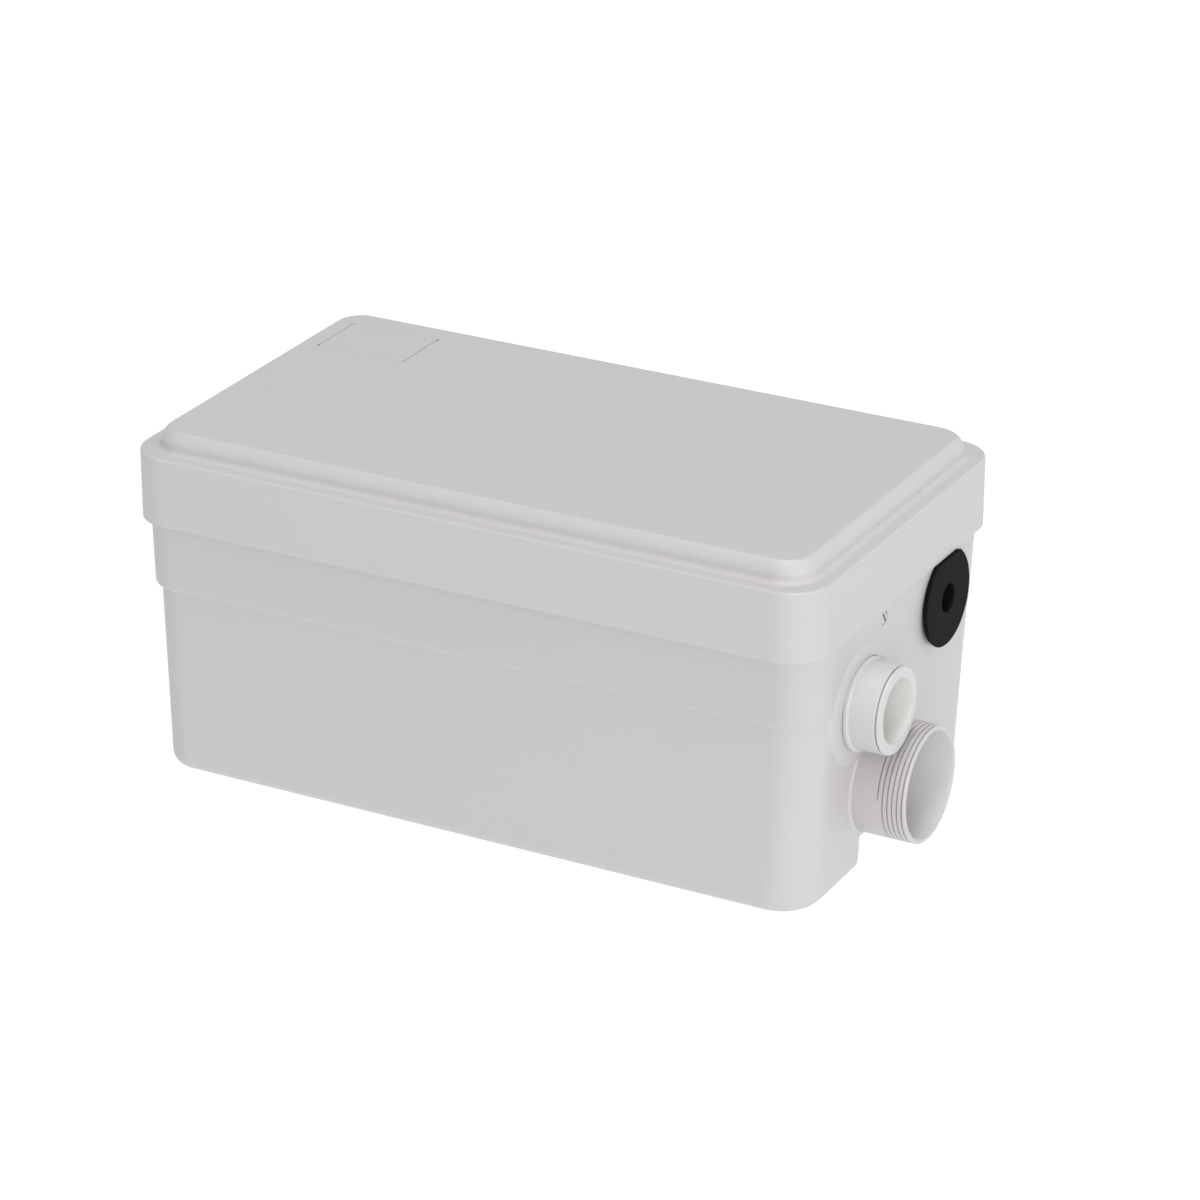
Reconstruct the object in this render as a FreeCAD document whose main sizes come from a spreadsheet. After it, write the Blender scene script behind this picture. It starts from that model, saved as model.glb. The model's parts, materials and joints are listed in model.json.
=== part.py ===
import FreeCAD, Part
import math
import operator
import os
from types import SimpleNamespace

import Sketcher

# Sewage pump: a boxed lifting station for waste water.
# X runs along the tank to the end with the ports, Y to the rear, Z up.
# The origin is the centre of the tank's flat bottom. Lengths are in millimetres.

SIZES = {
    # lid
    "head_room": 17.1,
    "top_rise": 8.3,
    "skirt_height": 29.0,
    "lid_wall": 3.0,
    "lid_corner": 16.5,
    "top_inset": 6.8,
    "top_lean": 0.4,
    "top_corner": 13.5,
    "top_edge": 2.3,
    "ledge_rounding": 1.0,
    "ledge_flat": 3.2,
    "lift_gap": 0.3,
    # tank
    "pump_room": 31.6,
    "side_room": 25.1,
    "port_room": 30.0,
    "tank_wall": 2.8,
    "band_inset": 1.8,
    "band_side_inset": 6.2,
    "band_height": 30.7,
    "band_step": 2.4,
    "band_side_step": 1.0,
    "wall_slope": 0.022,
    "end_slope": 0.05,
    "end_gap": 0.5,
    "rim_gap": 0.5,
    "tank_corner": 12.5,
    "port_corner": 19.5,
    "floor_rounding": 7.0,
    "notch_depth": 20.9,
    "notch_front": 30.5,
    "gasket_thickness": 2.7,
    # inlet pipe and its flap
    "inlet_reach": 19.0,
    "inlet_offset": 15.7,
    "inlet_drop": 38.7,
    "inlet_sink": 0.9,
    "inlet_radius": 23.9,
    "inlet_pipe_wall": 2.6,
    "thread_pitch": 1.95,
    "thread_depth": 1.0,
    "thread_turns": 6.0,
    "flap_ring_inset": 21.0,
    "flap_ring_length": 6.0,
    "flap_ring_wall": 4.8,
    "flap_seat_step": 0.4,
    "flap_overlap": 2.5,
    "flap_thickness": 2.2,
    "flap_gap": 0.3,
    "flap_pin_radius": 1.2,
    "flap_pin_rise": 1.9,
    "knuckle_width": 10.2,
    "knuckle_radius": 2.5,
    "pin_gap": 0.06,
    # outlet spigot
    "outlet_reach": 14.0,
    "outlet_inset": 9.8,
    "outlet_drop": 32.5,
    "outlet_bore": 12.9,
    "outlet_radius": 15.0,
    "collar_radius": 18.6,
    "collar_length": 8.6,
    "outlet_groove": 1.0,
    "outlet_ring": 17.4,
    "pad_radius": 27.0,
    "nut_thickness": 5.0,
    "nut_slot": 1.2,
    "washer_thickness": 1.5,
    "nut_radius": 17.2,
    "fit_gap": 0.1,
    # check valve
    "socket_gap": 3.7,
    "valve_length": 36.0,
    "valve_radius": 20.0,
    "valve_wall": 3.0,
    "valve_seat_bore": 9.5,
    "valve_flap_radius": 12.6,
    "valve_pin_height": 13.3,
    "valve_pin_length": 26.0,
    "socket_length": 14.0,
    "socket_radius": 17.6,
    # cable grommet
    "grommet_offset": 35.8,
    "grommet_drop": 16.7,
    "grommet_radius": 19.8,
    "grommet_groove": 16.0,
    "grommet_flange": 2.0,
    "grommet_hole": 5.8,
    # pump
    "feet_height": 6.0,
    "foot_radius": 7.0,
    "cover_thickness": 3.5,
    "suction_radius": 14.0,
    "slot_inset": 11.5,
    "slot_radius": 4.0,
    "casing_inset": 1.0,
    "casing_wall": 10.0,
    "casing_floor": 3.0,
    "casing_depth": 24.0,
    "casing_pipe": 12.0,
    "casing_pipe_reach": 12.0,
    "plate_thickness": 5.0,
    "plate_rim": 3.0,
    "lug_radius": 7.0,
    "head_gap": 0.8,
    "impeller_side_gap": 6.0,
    "impeller_gap": 3.0,
    "vane_height": 9.0,
    "impeller_disc": 3.5,
    "hub_radius": 10.0,
    "nut_height": 5.0,
    "shaft_radius": 6.0,
    "shaft_neck": 4.0,
    "shoulder_rise": 1.0,
    "seal_outer": 12.0,
    "seal_height": 5.6,
    "seal_ring_outer": 11.0,
    "bearing_outer": 16.0,
    "bearing_inner": 8.6,
    "bearing_race": 2.0,
    "bearing_height": 10.0,
    "top_bearing_outer": 11.0,
    "top_bearing_inner": 6.0,
    "top_bearing_race": 1.4,
    "top_bearing_height": 7.0,
    "running_gap": 0.3,
    # motor
    "motor_radius": 47.0,
    "motor_wall": 3.0,
    "motor_height": 76.0,
    "stator_height": 38.0,
    "stator_bore": 27.0,
    "stator_slot": 3.0,
    "winding_height": 10.0,
    "winding_lip": 2.5,
    "winding_gap": 2.0,
    "rotor_gap": 0.5,
    "cap_thickness": 5.0,
    "ear_radius": 5.0,
    "ear_height": 12.0,
    "cap_boss_wall": 4.0,
    "cap_boss_depth": 9.0,
    "seal_cord": 2.0,
    "screw_radius": 2.0,
    "screw_head": 3.6,
    "screw_head_height": 2.6,
    # discharge hose
    "hose_wall": 3.0,
    "hose_bend": 24.0,
    "hose_grip": 14.0,
    "clamp_width": 9.0,
    "clamp_thickness": 0.8,
    # level switch
    "switch_gap": 3.1,
    "switch_side": 30.0,
    "bell_radius": 15.0,
    "bell_wall": 2.0,
    "bell_bottom": 14.0,
    "membrane_radius": 22.0,
    "membrane_thickness": 1.2,
    "plunger_radius": 5.0,
    "plunger_height": 5.5,
    "plunger_travel": 2.0,
    "switch_length": 28.0,
    "switch_width": 10.0,
    "switch_height": 15.0,
    "button_radius": 1.6,
    # electrics
    "tray_gap": 1.6,
    "tray_end": 14.0,
    "tray_side": 15.5,
    "tray_drop": 12.7,
    "tray_thickness": 2.5,
    "tray_screw_length": 8.0,
    "post_radius": 4.5,
    "post_inset": 6.5,
    "capacitor_radius": 14.5,
    "capacitor_length": 48.0,
    "clip_width": 12.0,
    "clip_thickness": 1.5,
    "terminal_gap": 4.7,
    "terminal_length": 22.0,
    "terminal_width": 21.0,
    "terminal_height": 14.0,
    # lid fastening
    "lock_drop": 4.1,
    "lock_offset": 18.6,
    "lock_shank": 1.9,
    "lock_head": 2.6,
    "lock_length": 11.2,
    "lock_slit": 0.65,
    "lock_recess": 1.4,
    "tongue_width": 16.0,
    "tongue_thickness": 3.0,
    "tongue_reach": 6.6,
    "lock_nut": 4.0,
    "lock_nut_height": 2.6,
    # vent hatch
    "hatch_inset": 38.2,
    "hatch_side": 36.5,
    "hatch_length": 38.6,
    "hatch_width": 29.6,
    "hatch_thickness": 1.6,
    "hatch_seat": 2.2,
    "hatch_gap": 0.3,
    "filter_height": 9.0,
    "basket_wall": 1.5,
    "basket_slot": 3.0,
}

# How many of each there are, and how far the vanes lean back
VANES = 6
VANE_LEAN = 10.0
STATOR_SLOTS = 12
SUCTION_SLOTS = 8
LOWER_BALLS = 8
UPPER_BALLS = 7
BASKET_SLOTS = 5

SIGNS = {"add": "+", "sub": "-", "mul": "*", "truediv": "/"}


class Size:
    """A length known both as a number and as a formula of the spreadsheet's cells."""

    def __init__(self, number, formula=None):
        self.number = float(number)
        self.formula = formula or repr(float(number))

    def joined(self, other, rule, swapped=False):
        other = as_size(other)
        first, second = (other, self) if swapped else (self, other)
        text = "(%s %s %s)" % (first.formula, SIGNS[rule.__name__], second.formula)
        return Size(rule(first.number, second.number), text)

    def __add__(self, other):
        return self.joined(other, operator.add)

    def __radd__(self, other):
        return self.joined(other, operator.add, swapped=True)

    def __sub__(self, other):
        return self.joined(other, operator.sub)

    def __rsub__(self, other):
        return self.joined(other, operator.sub, swapped=True)

    def __mul__(self, other):
        return self.joined(other, operator.mul)

    def __rmul__(self, other):
        return self.joined(other, operator.mul, swapped=True)

    def __truediv__(self, other):
        return self.joined(other, operator.truediv)

    def __neg__(self):
        return Size(0) - self

    def __float__(self):
        return self.number


def as_size(value):
    return value if isinstance(value, Size) else Size(value)


doc = FreeCAD.newDocument("SewagePump")
sheet = doc.addObject("Spreadsheet::Sheet", "Sizes")
for row, (alias, amount) in enumerate(SIZES.items(), start=1):
    sheet.set("A%d" % row, alias)
    sheet.set("B%d" % row, str(amount))
    sheet.setAlias("B%d" % row, alias)
doc.recompute()
s = SimpleNamespace(**{alias: Size(amount, "Sizes." + alias) for alias, amount in SIZES.items()})

X_AXIS = FreeCAD.Rotation(FreeCAD.Vector(0, 1, 0), 90)
Y_AXIS = FreeCAD.Rotation(FreeCAD.Vector(1, 0, 0), -90)
Z_AXIS = FreeCAD.Rotation()
TOUCH = 0.01
NODES = []


# Helpers

def bind(thing, prop, size):
    """Bind one property to its formula of the spreadsheet's cells."""
    thing.setExpression(prop, as_size(size).formula)


def place(thing, spot, turn=Z_AXIS):
    """Put an object at a spot whose coordinates follow the spreadsheet."""
    thing.Placement = FreeCAD.Placement(FreeCAD.Vector(*[float(v) for v in spot]), turn)
    for letter, size in zip("xyz", spot):
        bind(thing, "Placement.Base." + letter, size)
    return thing


def node(thing, name):
    """Give a finished piece its name and note it for writing."""
    thing.Label = name
    NODES.append(thing)
    return thing


def cylinder(radius, height, spot=(0, 0, 0), turn=Z_AXIS):
    thing = doc.addObject("Part::Cylinder", "Cylinder")
    bind(thing, "Radius", radius)
    bind(thing, "Height", height)
    return place(thing, spot, turn)


def block(length, width, height, spot=(0, 0, 0)):
    """A box from its lower left front corner."""
    thing = doc.addObject("Part::Box", "Box")
    bind(thing, "Length", length)
    bind(thing, "Width", width)
    bind(thing, "Height", height)
    return place(thing, spot)


def centred_block(length, width, height, spot):
    """A box from the middle of its underside."""
    x, y, z = spot
    return block(length, width, height, (x - length / 2, y - width / 2, z))


def ball(radius, spot):
    thing = doc.addObject("Part::Sphere", "Sphere")
    bind(thing, "Radius", radius)
    return place(thing, spot)


def ring(radius, cord, spot, turn=Z_AXIS):
    """A round cord ring, its middle circle at the spot."""
    thing = doc.addObject("Part::Torus", "Torus")
    bind(thing, "Radius1", radius)
    bind(thing, "Radius2", cord)
    return place(thing, spot, turn)


def prism(radius, height, spot, turn=Z_AXIS):
    """A hexagonal prism across its corners."""
    thing = doc.addObject("Part::Prism", "Prism")
    thing.Polygon = 6
    bind(thing, "Circumradius", radius)
    bind(thing, "Height", height)
    return place(thing, spot, turn)


def fuse(things):
    thing = doc.addObject("Part::MultiFuse", "Fusion")
    thing.Shapes = things
    return thing


def group(things):
    """Several separate solids in one node."""
    thing = doc.addObject("Part::Compound", "Group")
    thing.Links = things
    return thing


def cut(base, tools):
    thing = doc.addObject("Part::Cut", "Cut")
    thing.Base = base
    thing.Tool = tools[0] if len(tools) == 1 else fuse(tools)
    return thing


def tube(outer, inner, height, spot, turn=Z_AXIS):
    return cut(cylinder(outer, height, spot, turn), [cylinder(inner, height, spot, turn)])


def round_spots(count, radius, start=0.0):
    """Evenly spread X and Y offsets on a circle."""
    for number in range(count):
        angle = math.radians(start + 360.0 * number / count)
        yield radius * round(math.cos(angle), 9), radius * round(math.sin(angle), 9)


def new_body(name):
    return doc.addObject("PartDesign::Body", name)


def origin_plane(body, role):
    return next(feature for feature in body.Origin.OriginFeatures if feature.Role == role)


def new_sketch(body, role, height):
    """A sketch on one of the body's own planes, moved out along the plane's normal."""
    sketch = body.newObject("Sketcher::SketchObject", "Sketch")
    sketch.AttachmentSupport = (origin_plane(body, role), [""])
    sketch.MapMode = "FlatFace"
    bind(sketch, "AttachmentOffset.Base.z", height)
    return sketch


def hold(sketch, element, point, across, up):
    """Fix a point's two distances from the sketch's origin."""
    for kind, axis, size in (("DistanceX", -2, across), ("DistanceY", -1, up)):
        size = as_size(size)
        if size.formula == "0.0":
            sketch.addConstraint(Sketcher.Constraint("PointOnObject", element, point, axis))
            continue
        number = sketch.addConstraint(Sketcher.Constraint(kind, -1, 1, element, point, size.number))
        sketch.setExpression("Constraints[%d]" % number, size.formula)


def outline(sketch, points):
    """A closed straight-sided outline through the given points."""
    spots = [FreeCAD.Vector(float(x), float(y), 0) for x, y in points]
    count = len(spots)
    for index in range(count):
        sketch.addGeometry(Part.LineSegment(spots[index], spots[(index + 1) % count]), False)
    for index in range(count):
        sketch.addConstraint(Sketcher.Constraint("Coincident", index, 2, (index + 1) % count, 1))
        hold(sketch, index, 1, *points[index])


def circle(sketch, radius, across=0, up=0):
    middle = FreeCAD.Vector(float(across), float(up), 0)
    index = sketch.addGeometry(Part.Circle(middle, FreeCAD.Vector(0, 0, 1), float(radius)), False)
    number = sketch.addConstraint(Sketcher.Constraint("Radius", index, float(radius)))
    bind(sketch, "Constraints[%d]" % number, radius)
    hold(sketch, index, 3, across, up)


def rounded_rectangle(body, height, left, right, half, left_corner, right_corner):
    """A sketch of a rectangle, symmetric about X, whose two ends have corners of their own."""
    sketch = new_sketch(body, "XY_Plane", height)
    corners = (
        (right, -half, right_corner, -1, 1),
        (right, half, right_corner, -1, -1),
        (left, half, left_corner, 1, -1),
        (left, -half, left_corner, 1, 1),
    )
    ends = []
    for x, y, radius, side, rise in corners:
        middle = FreeCAD.Vector(float(x + side * radius), float(y + rise * radius), 0)
        start = math.atan2(-rise, -side) - math.pi / 4
        arc = Part.ArcOfCircle(Part.Circle(middle, FreeCAD.Vector(0, 0, 1), float(radius)),
                               start, start + math.pi / 2)
        ends.append((arc.StartPoint, arc.EndPoint))
        index = sketch.addGeometry(arc, False)
        number = sketch.addConstraint(Sketcher.Constraint("Radius", index, float(radius)))
        bind(sketch, "Constraints[%d]" % number, radius)
        hold(sketch, index, 3, x + side * radius, y + rise * radius)
    for index in range(4):
        following = (index + 1) % 4
        side = sketch.addGeometry(Part.LineSegment(ends[index][1], ends[following][0]), False)
        sketch.addConstraint(Sketcher.Constraint("Tangent", index, 2, side, 1))
        sketch.addConstraint(Sketcher.Constraint("Tangent", side, 2, following, 1))
    return sketch


def pad(body, sketch, length):
    feature = body.newObject("PartDesign::Pad", "Pad")
    feature.Profile = sketch
    bind(feature, "Length", length)
    return feature


def loft(body, lower, upper):
    feature = body.newObject("PartDesign::AdditiveLoft", "Loft")
    feature.Profile = lower
    feature.Sections = [upper]
    feature.Ruled = True
    return feature


def edges_where(feature, wanted):
    """Names of the feature's edges that a test accepts."""
    doc.recompute()
    return ["Edge%d" % (index + 1) for index, edge in enumerate(feature.Shape.Edges) if wanted(edge)]


def tangent_chain(feature, height, wanted):
    """Test for the edges at one height that are accepted or join up with an accepted one."""
    doc.recompute()
    edges = [edge for edge in feature.Shape.Edges if wanted(edge)]
    ends = [vertex.Point for edge in edges for vertex in edge.Vertexes]
    level = at_height(height)

    def linked(edge):
        points = [vertex.Point for vertex in edge.Vertexes]
        touching = any(point.distanceToPoint(end) < TOUCH for point in points for end in ends)
        return level(edge) and touching
    return linked


def fillet(body, feature, radius, wanted):
    """Round the edges that a test accepts."""
    names = edges_where(feature, wanted)
    rounding = body.newObject("PartDesign::Fillet", "Fillet")
    rounding.Base = (feature, names)
    bind(rounding, "Radius", radius)
    return rounding


def at_height(height):
    """Test for edges that lie level at one height."""
    def wanted(edge):
        box = edge.BoundBox
        return abs(box.ZMin - float(height)) < TOUCH and abs(box.ZMax - float(height)) < TOUCH
    return wanted


def leaning_box(body, low, high, left_corner, right_corner, rounding=None):
    """A block whose four walls lean outwards, its upright corners rounded and its lower edge too."""
    walls = body.newObject("PartDesign::AdditiveWedge", "Walls")
    walls.AttachmentSupport = (origin_plane(body, "XY_Plane"), [""])
    walls.MapMode = "FlatFace"
    upright = FreeCAD.Rotation(FreeCAD.Vector(1, 0, 0), 90)
    walls.AttachmentOffset = FreeCAD.Placement(FreeCAD.Vector(), upright)
    bottom, left, right, half = low
    for prop, size in (("Xmin", left), ("Xmax", right), ("Zmin", -half), ("Zmax", half), ("Ymin", 0)):
        bind(walls, prop, size)
    top, left, right, half = high
    for prop, size in (("X2min", left), ("X2max", right), ("Z2min", -half), ("Z2max", half),
                       ("Ymax", top - bottom)):
        bind(walls, prop, size)
    bind(walls, "AttachmentOffset.Base.z", bottom)

    def corner(edge, side):
        box = edge.BoundBox
        upright = abs(box.ZMin - float(bottom)) < TOUCH and abs(box.ZMax - float(top)) < TOUCH
        return upright and box.Center.x * side > 0

    rounded = fillet(body, walls, left_corner, lambda edge: corner(edge, -1))
    rounded = fillet(body, rounded, right_corner, lambda edge: corner(edge, 1))
    if rounding:
        rounded = fillet(body, rounded, rounding, at_height(bottom))
    return rounded


# Derived places

cover_bottom = s.tank_wall + s.feet_height
casing_bottom = cover_bottom + s.cover_thickness
casing_top = casing_bottom + s.casing_floor + s.casing_depth
pipe_axis = casing_bottom + s.casing_pipe
plate_top = casing_top + s.plate_thickness
motor_top = plate_top + s.motor_height
lid_top = motor_top + s.cap_thickness + s.screw_head_height + s.head_room + s.lid_wall
lid_ledge = lid_top - s.top_rise
skirt_bottom = lid_ledge - s.skirt_height
band_bottom = skirt_bottom - s.band_height
rim_top = lid_ledge - s.lid_wall - s.lift_gap - s.gasket_thickness
foot_rounding = s.top_inset - s.ledge_rounding - s.ledge_flat
top_rounding = s.top_rise - foot_rounding - s.top_edge
tray_bottom = skirt_bottom - s.tray_drop
tray_top = tray_bottom + s.tray_thickness

casing_radius = s.motor_radius - s.casing_inset
casing_bore = casing_radius - s.casing_wall
casing_pipe_end = casing_radius + s.casing_pipe_reach
impeller_radius = casing_bore - s.impeller_side_gap
slot_circle = casing_radius - s.slot_inset
outlet_offset = casing_radius - s.outlet_inset
plate_radius = s.motor_radius + s.plate_rim
can_bore = s.motor_radius - s.motor_wall
winding_outer = can_bore - s.winding_gap
winding_inner = s.stator_bore + s.winding_lip
cap_boss = s.top_bearing_outer + s.cap_boss_wall
lug_circle = s.motor_radius + s.screw_head + s.head_gap
lug_reach = lug_circle + s.lug_radius
capacitor_start = s.post_inset + s.screw_head + s.head_gap
tray_length = capacitor_start + s.capacitor_length + s.switch_gap + s.membrane_radius * 2 + s.tray_end
tray_width = (s.tray_thickness * 2 + s.clip_thickness + s.capacitor_radius * 2 + s.terminal_gap
              + s.terminal_width + s.head_gap)
lid_length = s.pump_room + lug_reach * 2 + s.tray_gap + tray_length + s.port_room
lid_width = (lug_reach + s.side_room) * 2
half_length = lid_length / 2
half_width = lid_width / 2
pump_x = -half_length + s.pump_room + lug_reach
tray_left = pump_x + lug_reach + s.tray_gap
tray_front = half_width - s.tray_side - tray_width
switch_x = tray_left + tray_length - s.tray_end - s.membrane_radius
switch_y = tray_front + tray_width - s.switch_side

band_half = half_width - s.band_side_inset
body_half = band_half - s.band_side_step
band_left = -half_length + s.band_inset
body_left = band_left + s.band_step
end_wall = half_length - s.end_gap
collar_half_length = half_length - s.lid_wall - s.rim_gap
collar_half_width = half_width - s.lid_wall - s.rim_gap
collar_corner = s.lid_corner - s.lid_wall - s.rim_gap
floor_drop = skirt_bottom * s.wall_slope
band_drop = s.band_height * s.wall_slope
end_drop = skirt_bottom * s.end_slope
band_end_drop = s.band_height * s.end_slope
mouth_left = -collar_half_length + s.tank_wall
mouth_half = band_half - band_drop - s.tank_wall

outlet_height = skirt_bottom - s.outlet_drop
outlet_axis = (-outlet_offset, outlet_height)
outlet_end = half_length + s.outlet_reach
outlet_wall = end_wall - s.outlet_drop * s.end_slope - s.tank_wall
pad_face = end_wall - s.fit_gap
nut_face = outlet_wall - s.nut_radius * s.end_slope - s.washer_thickness
valve_end = nut_face - s.nut_thickness - s.socket_gap - s.socket_length
valve_start = valve_end - s.valve_length
valve_room = valve_start + s.valve_wall * 3 / 2
valve_flap_face = valve_room + s.flap_gap

inlet_bore = s.inlet_radius - s.inlet_pipe_wall
inlet_height = outlet_height - s.inlet_drop
inlet_end = half_length + s.inlet_reach
inlet_wall = end_wall - (skirt_bottom - inlet_height) * s.end_slope - s.tank_wall
inlet_axis = (-s.inlet_offset, inlet_height)
flap_ring_front = inlet_end - s.flap_ring_inset
flap_ring_back = flap_ring_front - s.flap_ring_length
flap_ring_bore = inlet_bore - s.flap_ring_wall
flap_seat = inlet_bore + s.flap_seat_step
flap_radius = flap_ring_bore + s.flap_overlap
flap_pin_height = flap_radius + s.flap_pin_rise
notch_height = inlet_height - s.inlet_radius + s.inlet_sink
notch_wall = end_wall - (skirt_bottom - notch_height) * s.end_slope

grommet_height = skirt_bottom - s.grommet_drop
grommet_wall = end_wall - s.grommet_drop * s.end_slope
lock_height = skirt_bottom - s.lock_drop
lock_front = end_wall - s.lock_drop * s.end_slope
lock_back = half_length - s.band_inset - s.lock_drop * s.wall_slope
LOCKS = ((1, lock_front, -s.lock_offset), (-1, -lock_back, Size(0)))
tongue_bottom = lock_height - s.tongue_reach
hatch_x = -half_length + s.hatch_inset
hatch_y = half_width - s.hatch_side


# Tank: the moulded holding tank with its inlet pipe, outlet pad, band, rim and cut-away corner

def make_tank():
    shell = new_body("TankShell")
    leaning_box(shell, (0, body_left + floor_drop, end_wall - end_drop, body_half - floor_drop),
                (skirt_bottom, body_left, end_wall, body_half),
                s.tank_corner, s.port_corner, s.floor_rounding)
    leaning_box(shell, (band_bottom, band_left + band_drop, end_wall - band_end_drop, band_half - band_drop),
                (skirt_bottom, band_left, end_wall, band_half), s.tank_corner, s.port_corner)
    rim = rounded_rectangle(shell, skirt_bottom, -collar_half_length, collar_half_length, collar_half_width,
                            collar_corner, collar_corner)
    pad(shell, rim, rim_top - skirt_bottom)
    inlet = new_sketch(shell, "YZ_Plane", inlet_wall)
    circle(inlet, s.inlet_radius, -s.inlet_offset, inlet_height)
    pad(shell, inlet, inlet_end - inlet_wall)
    outlet = new_sketch(shell, "YZ_Plane", outlet_wall)
    circle(outlet, s.pad_radius, -outlet_offset, outlet_height)
    pad(shell, outlet, pad_face - outlet_wall)

    notch_left = end_wall - end_drop - s.notch_depth
    notch = block(notch_wall + s.fit_gap - notch_left, lid_width, notch_height + s.tank_wall,
                  (notch_left, -s.notch_front, -s.tank_wall))
    outer = cut(shell, [notch])

    hollow = new_body("TankHollow")
    inset = floor_drop + s.tank_wall
    leaning_box(hollow, (s.tank_wall, body_left + inset, end_wall - end_drop - s.tank_wall, body_half - inset),
                (skirt_bottom - s.tank_wall, body_left + s.tank_wall, end_wall - s.tank_wall,
                 body_half - s.tank_wall),
                s.tank_corner - s.tank_wall, s.port_corner - s.tank_wall, s.floor_rounding - s.tank_wall)
    throat = rounded_rectangle(hollow, band_bottom + s.tank_wall, mouth_left, -mouth_left, mouth_half,
                               s.tank_corner - s.tank_wall, s.port_corner - s.tank_wall)
    pad(hollow, throat, s.band_height)
    mouth = rounded_rectangle(hollow, skirt_bottom + s.tank_wall, mouth_left, -mouth_left,
                              collar_half_width - s.tank_wall, collar_corner - s.tank_wall,
                              collar_corner - s.tank_wall)
    pad(hollow, mouth, rim_top - skirt_bottom)
    kept = block(lid_length, lid_width, notch_height + s.tank_wall * 2,
                 (notch_left - s.tank_wall, -s.notch_front - s.tank_wall, -s.tank_wall))
    posts = [cylinder(s.post_radius, tray_bottom, (x, y, 0)) for x, y in post_spots()]
    hollow = cut(hollow, [kept] + posts)

    pipe_start = inlet_wall - s.tank_wall * 2
    bores = [
        cylinder(inlet_bore, lid_length, (pipe_start, *inlet_axis), X_AXIS),
        cylinder(flap_seat, flap_ring_front + s.flap_gap - pipe_start, (pipe_start, *inlet_axis), X_AXIS),
        cylinder(s.outlet_radius + s.fit_gap, lid_length,
                 (outlet_wall - s.tank_wall, -outlet_offset, outlet_height), X_AXIS),
        cylinder(s.grommet_groove, lid_length,
                 (half_length - s.tank_wall * 4, s.grommet_offset, grommet_height), X_AXIS),
    ]
    for lock in LOCKS:
        bores += lock_holes(*lock)
    screw_hole = s.tray_screw_length - s.tray_thickness
    bores += [cylinder(s.screw_radius, screw_hole, (x, y, tray_bottom - screw_hole))
              for x, y in post_spots()]
    grooves = []
    for turn in range(int(s.thread_turns.number)):
        spot = (inlet_end - s.thread_pitch * (turn + 1), -s.inlet_offset, inlet_height)
        grooves.append(ring(s.inlet_radius, s.thread_depth, spot, X_AXIS))
    return cut(outer, [hollow] + bores + grooves)


def post_spots():
    """The four corners of the electrics tray, each over its post."""
    for x in (tray_left + s.post_inset, tray_left + tray_length - s.post_inset):
        for y in (tray_front + s.post_inset, tray_front + tray_width - s.post_inset):
            yield x, y


def inner_end(side, face, length):
    """The lower X of something that reaches from an end wall's face into the tank."""
    return face - length if side > 0 else face


def lock_rod(side, radius, length, face, offset):
    """A cylinder on a lid screw's axis, from a face inwards."""
    return cylinder(radius, length, (inner_end(side, face, length), offset, lock_height), X_AXIS)


def lock_holes(side, wall, offset):
    """The hole and the recess of one lid screw, both open to the outside."""
    outside = wall + side * s.tank_wall
    return [
        lock_rod(side, s.lock_shank + s.fit_gap, s.lock_length + s.tank_wall, outside, offset),
        lock_rod(side, s.lock_head + s.fit_gap, s.lock_recess + s.tank_wall, outside, offset),
    ]


node(make_tank(), "tank")


# Tank gasket: a flat rubber frame on the tank's rim

def make_gasket():
    frame = new_body("GasketFrame")
    outer = rounded_rectangle(frame, 0, -collar_half_length, collar_half_length, collar_half_width,
                              collar_corner, collar_corner)
    pad(frame, outer, s.gasket_thickness)
    place(frame, (0, 0, rim_top))
    opening = new_body("GasketOpening")
    inner = rounded_rectangle(opening, 0, -collar_half_length + s.tank_wall, collar_half_length - s.tank_wall,
                              collar_half_width - s.tank_wall, collar_corner - s.tank_wall,
                              collar_corner - s.tank_wall)
    pad(opening, inner, s.gasket_thickness)
    place(opening, (0, 0, rim_top))
    return cut(frame, [opening])


node(make_gasket(), "lid_gasket")


# Lid: raised top, ledge and skirt, with the vent recess, filter basket and two forked tongues

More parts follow.
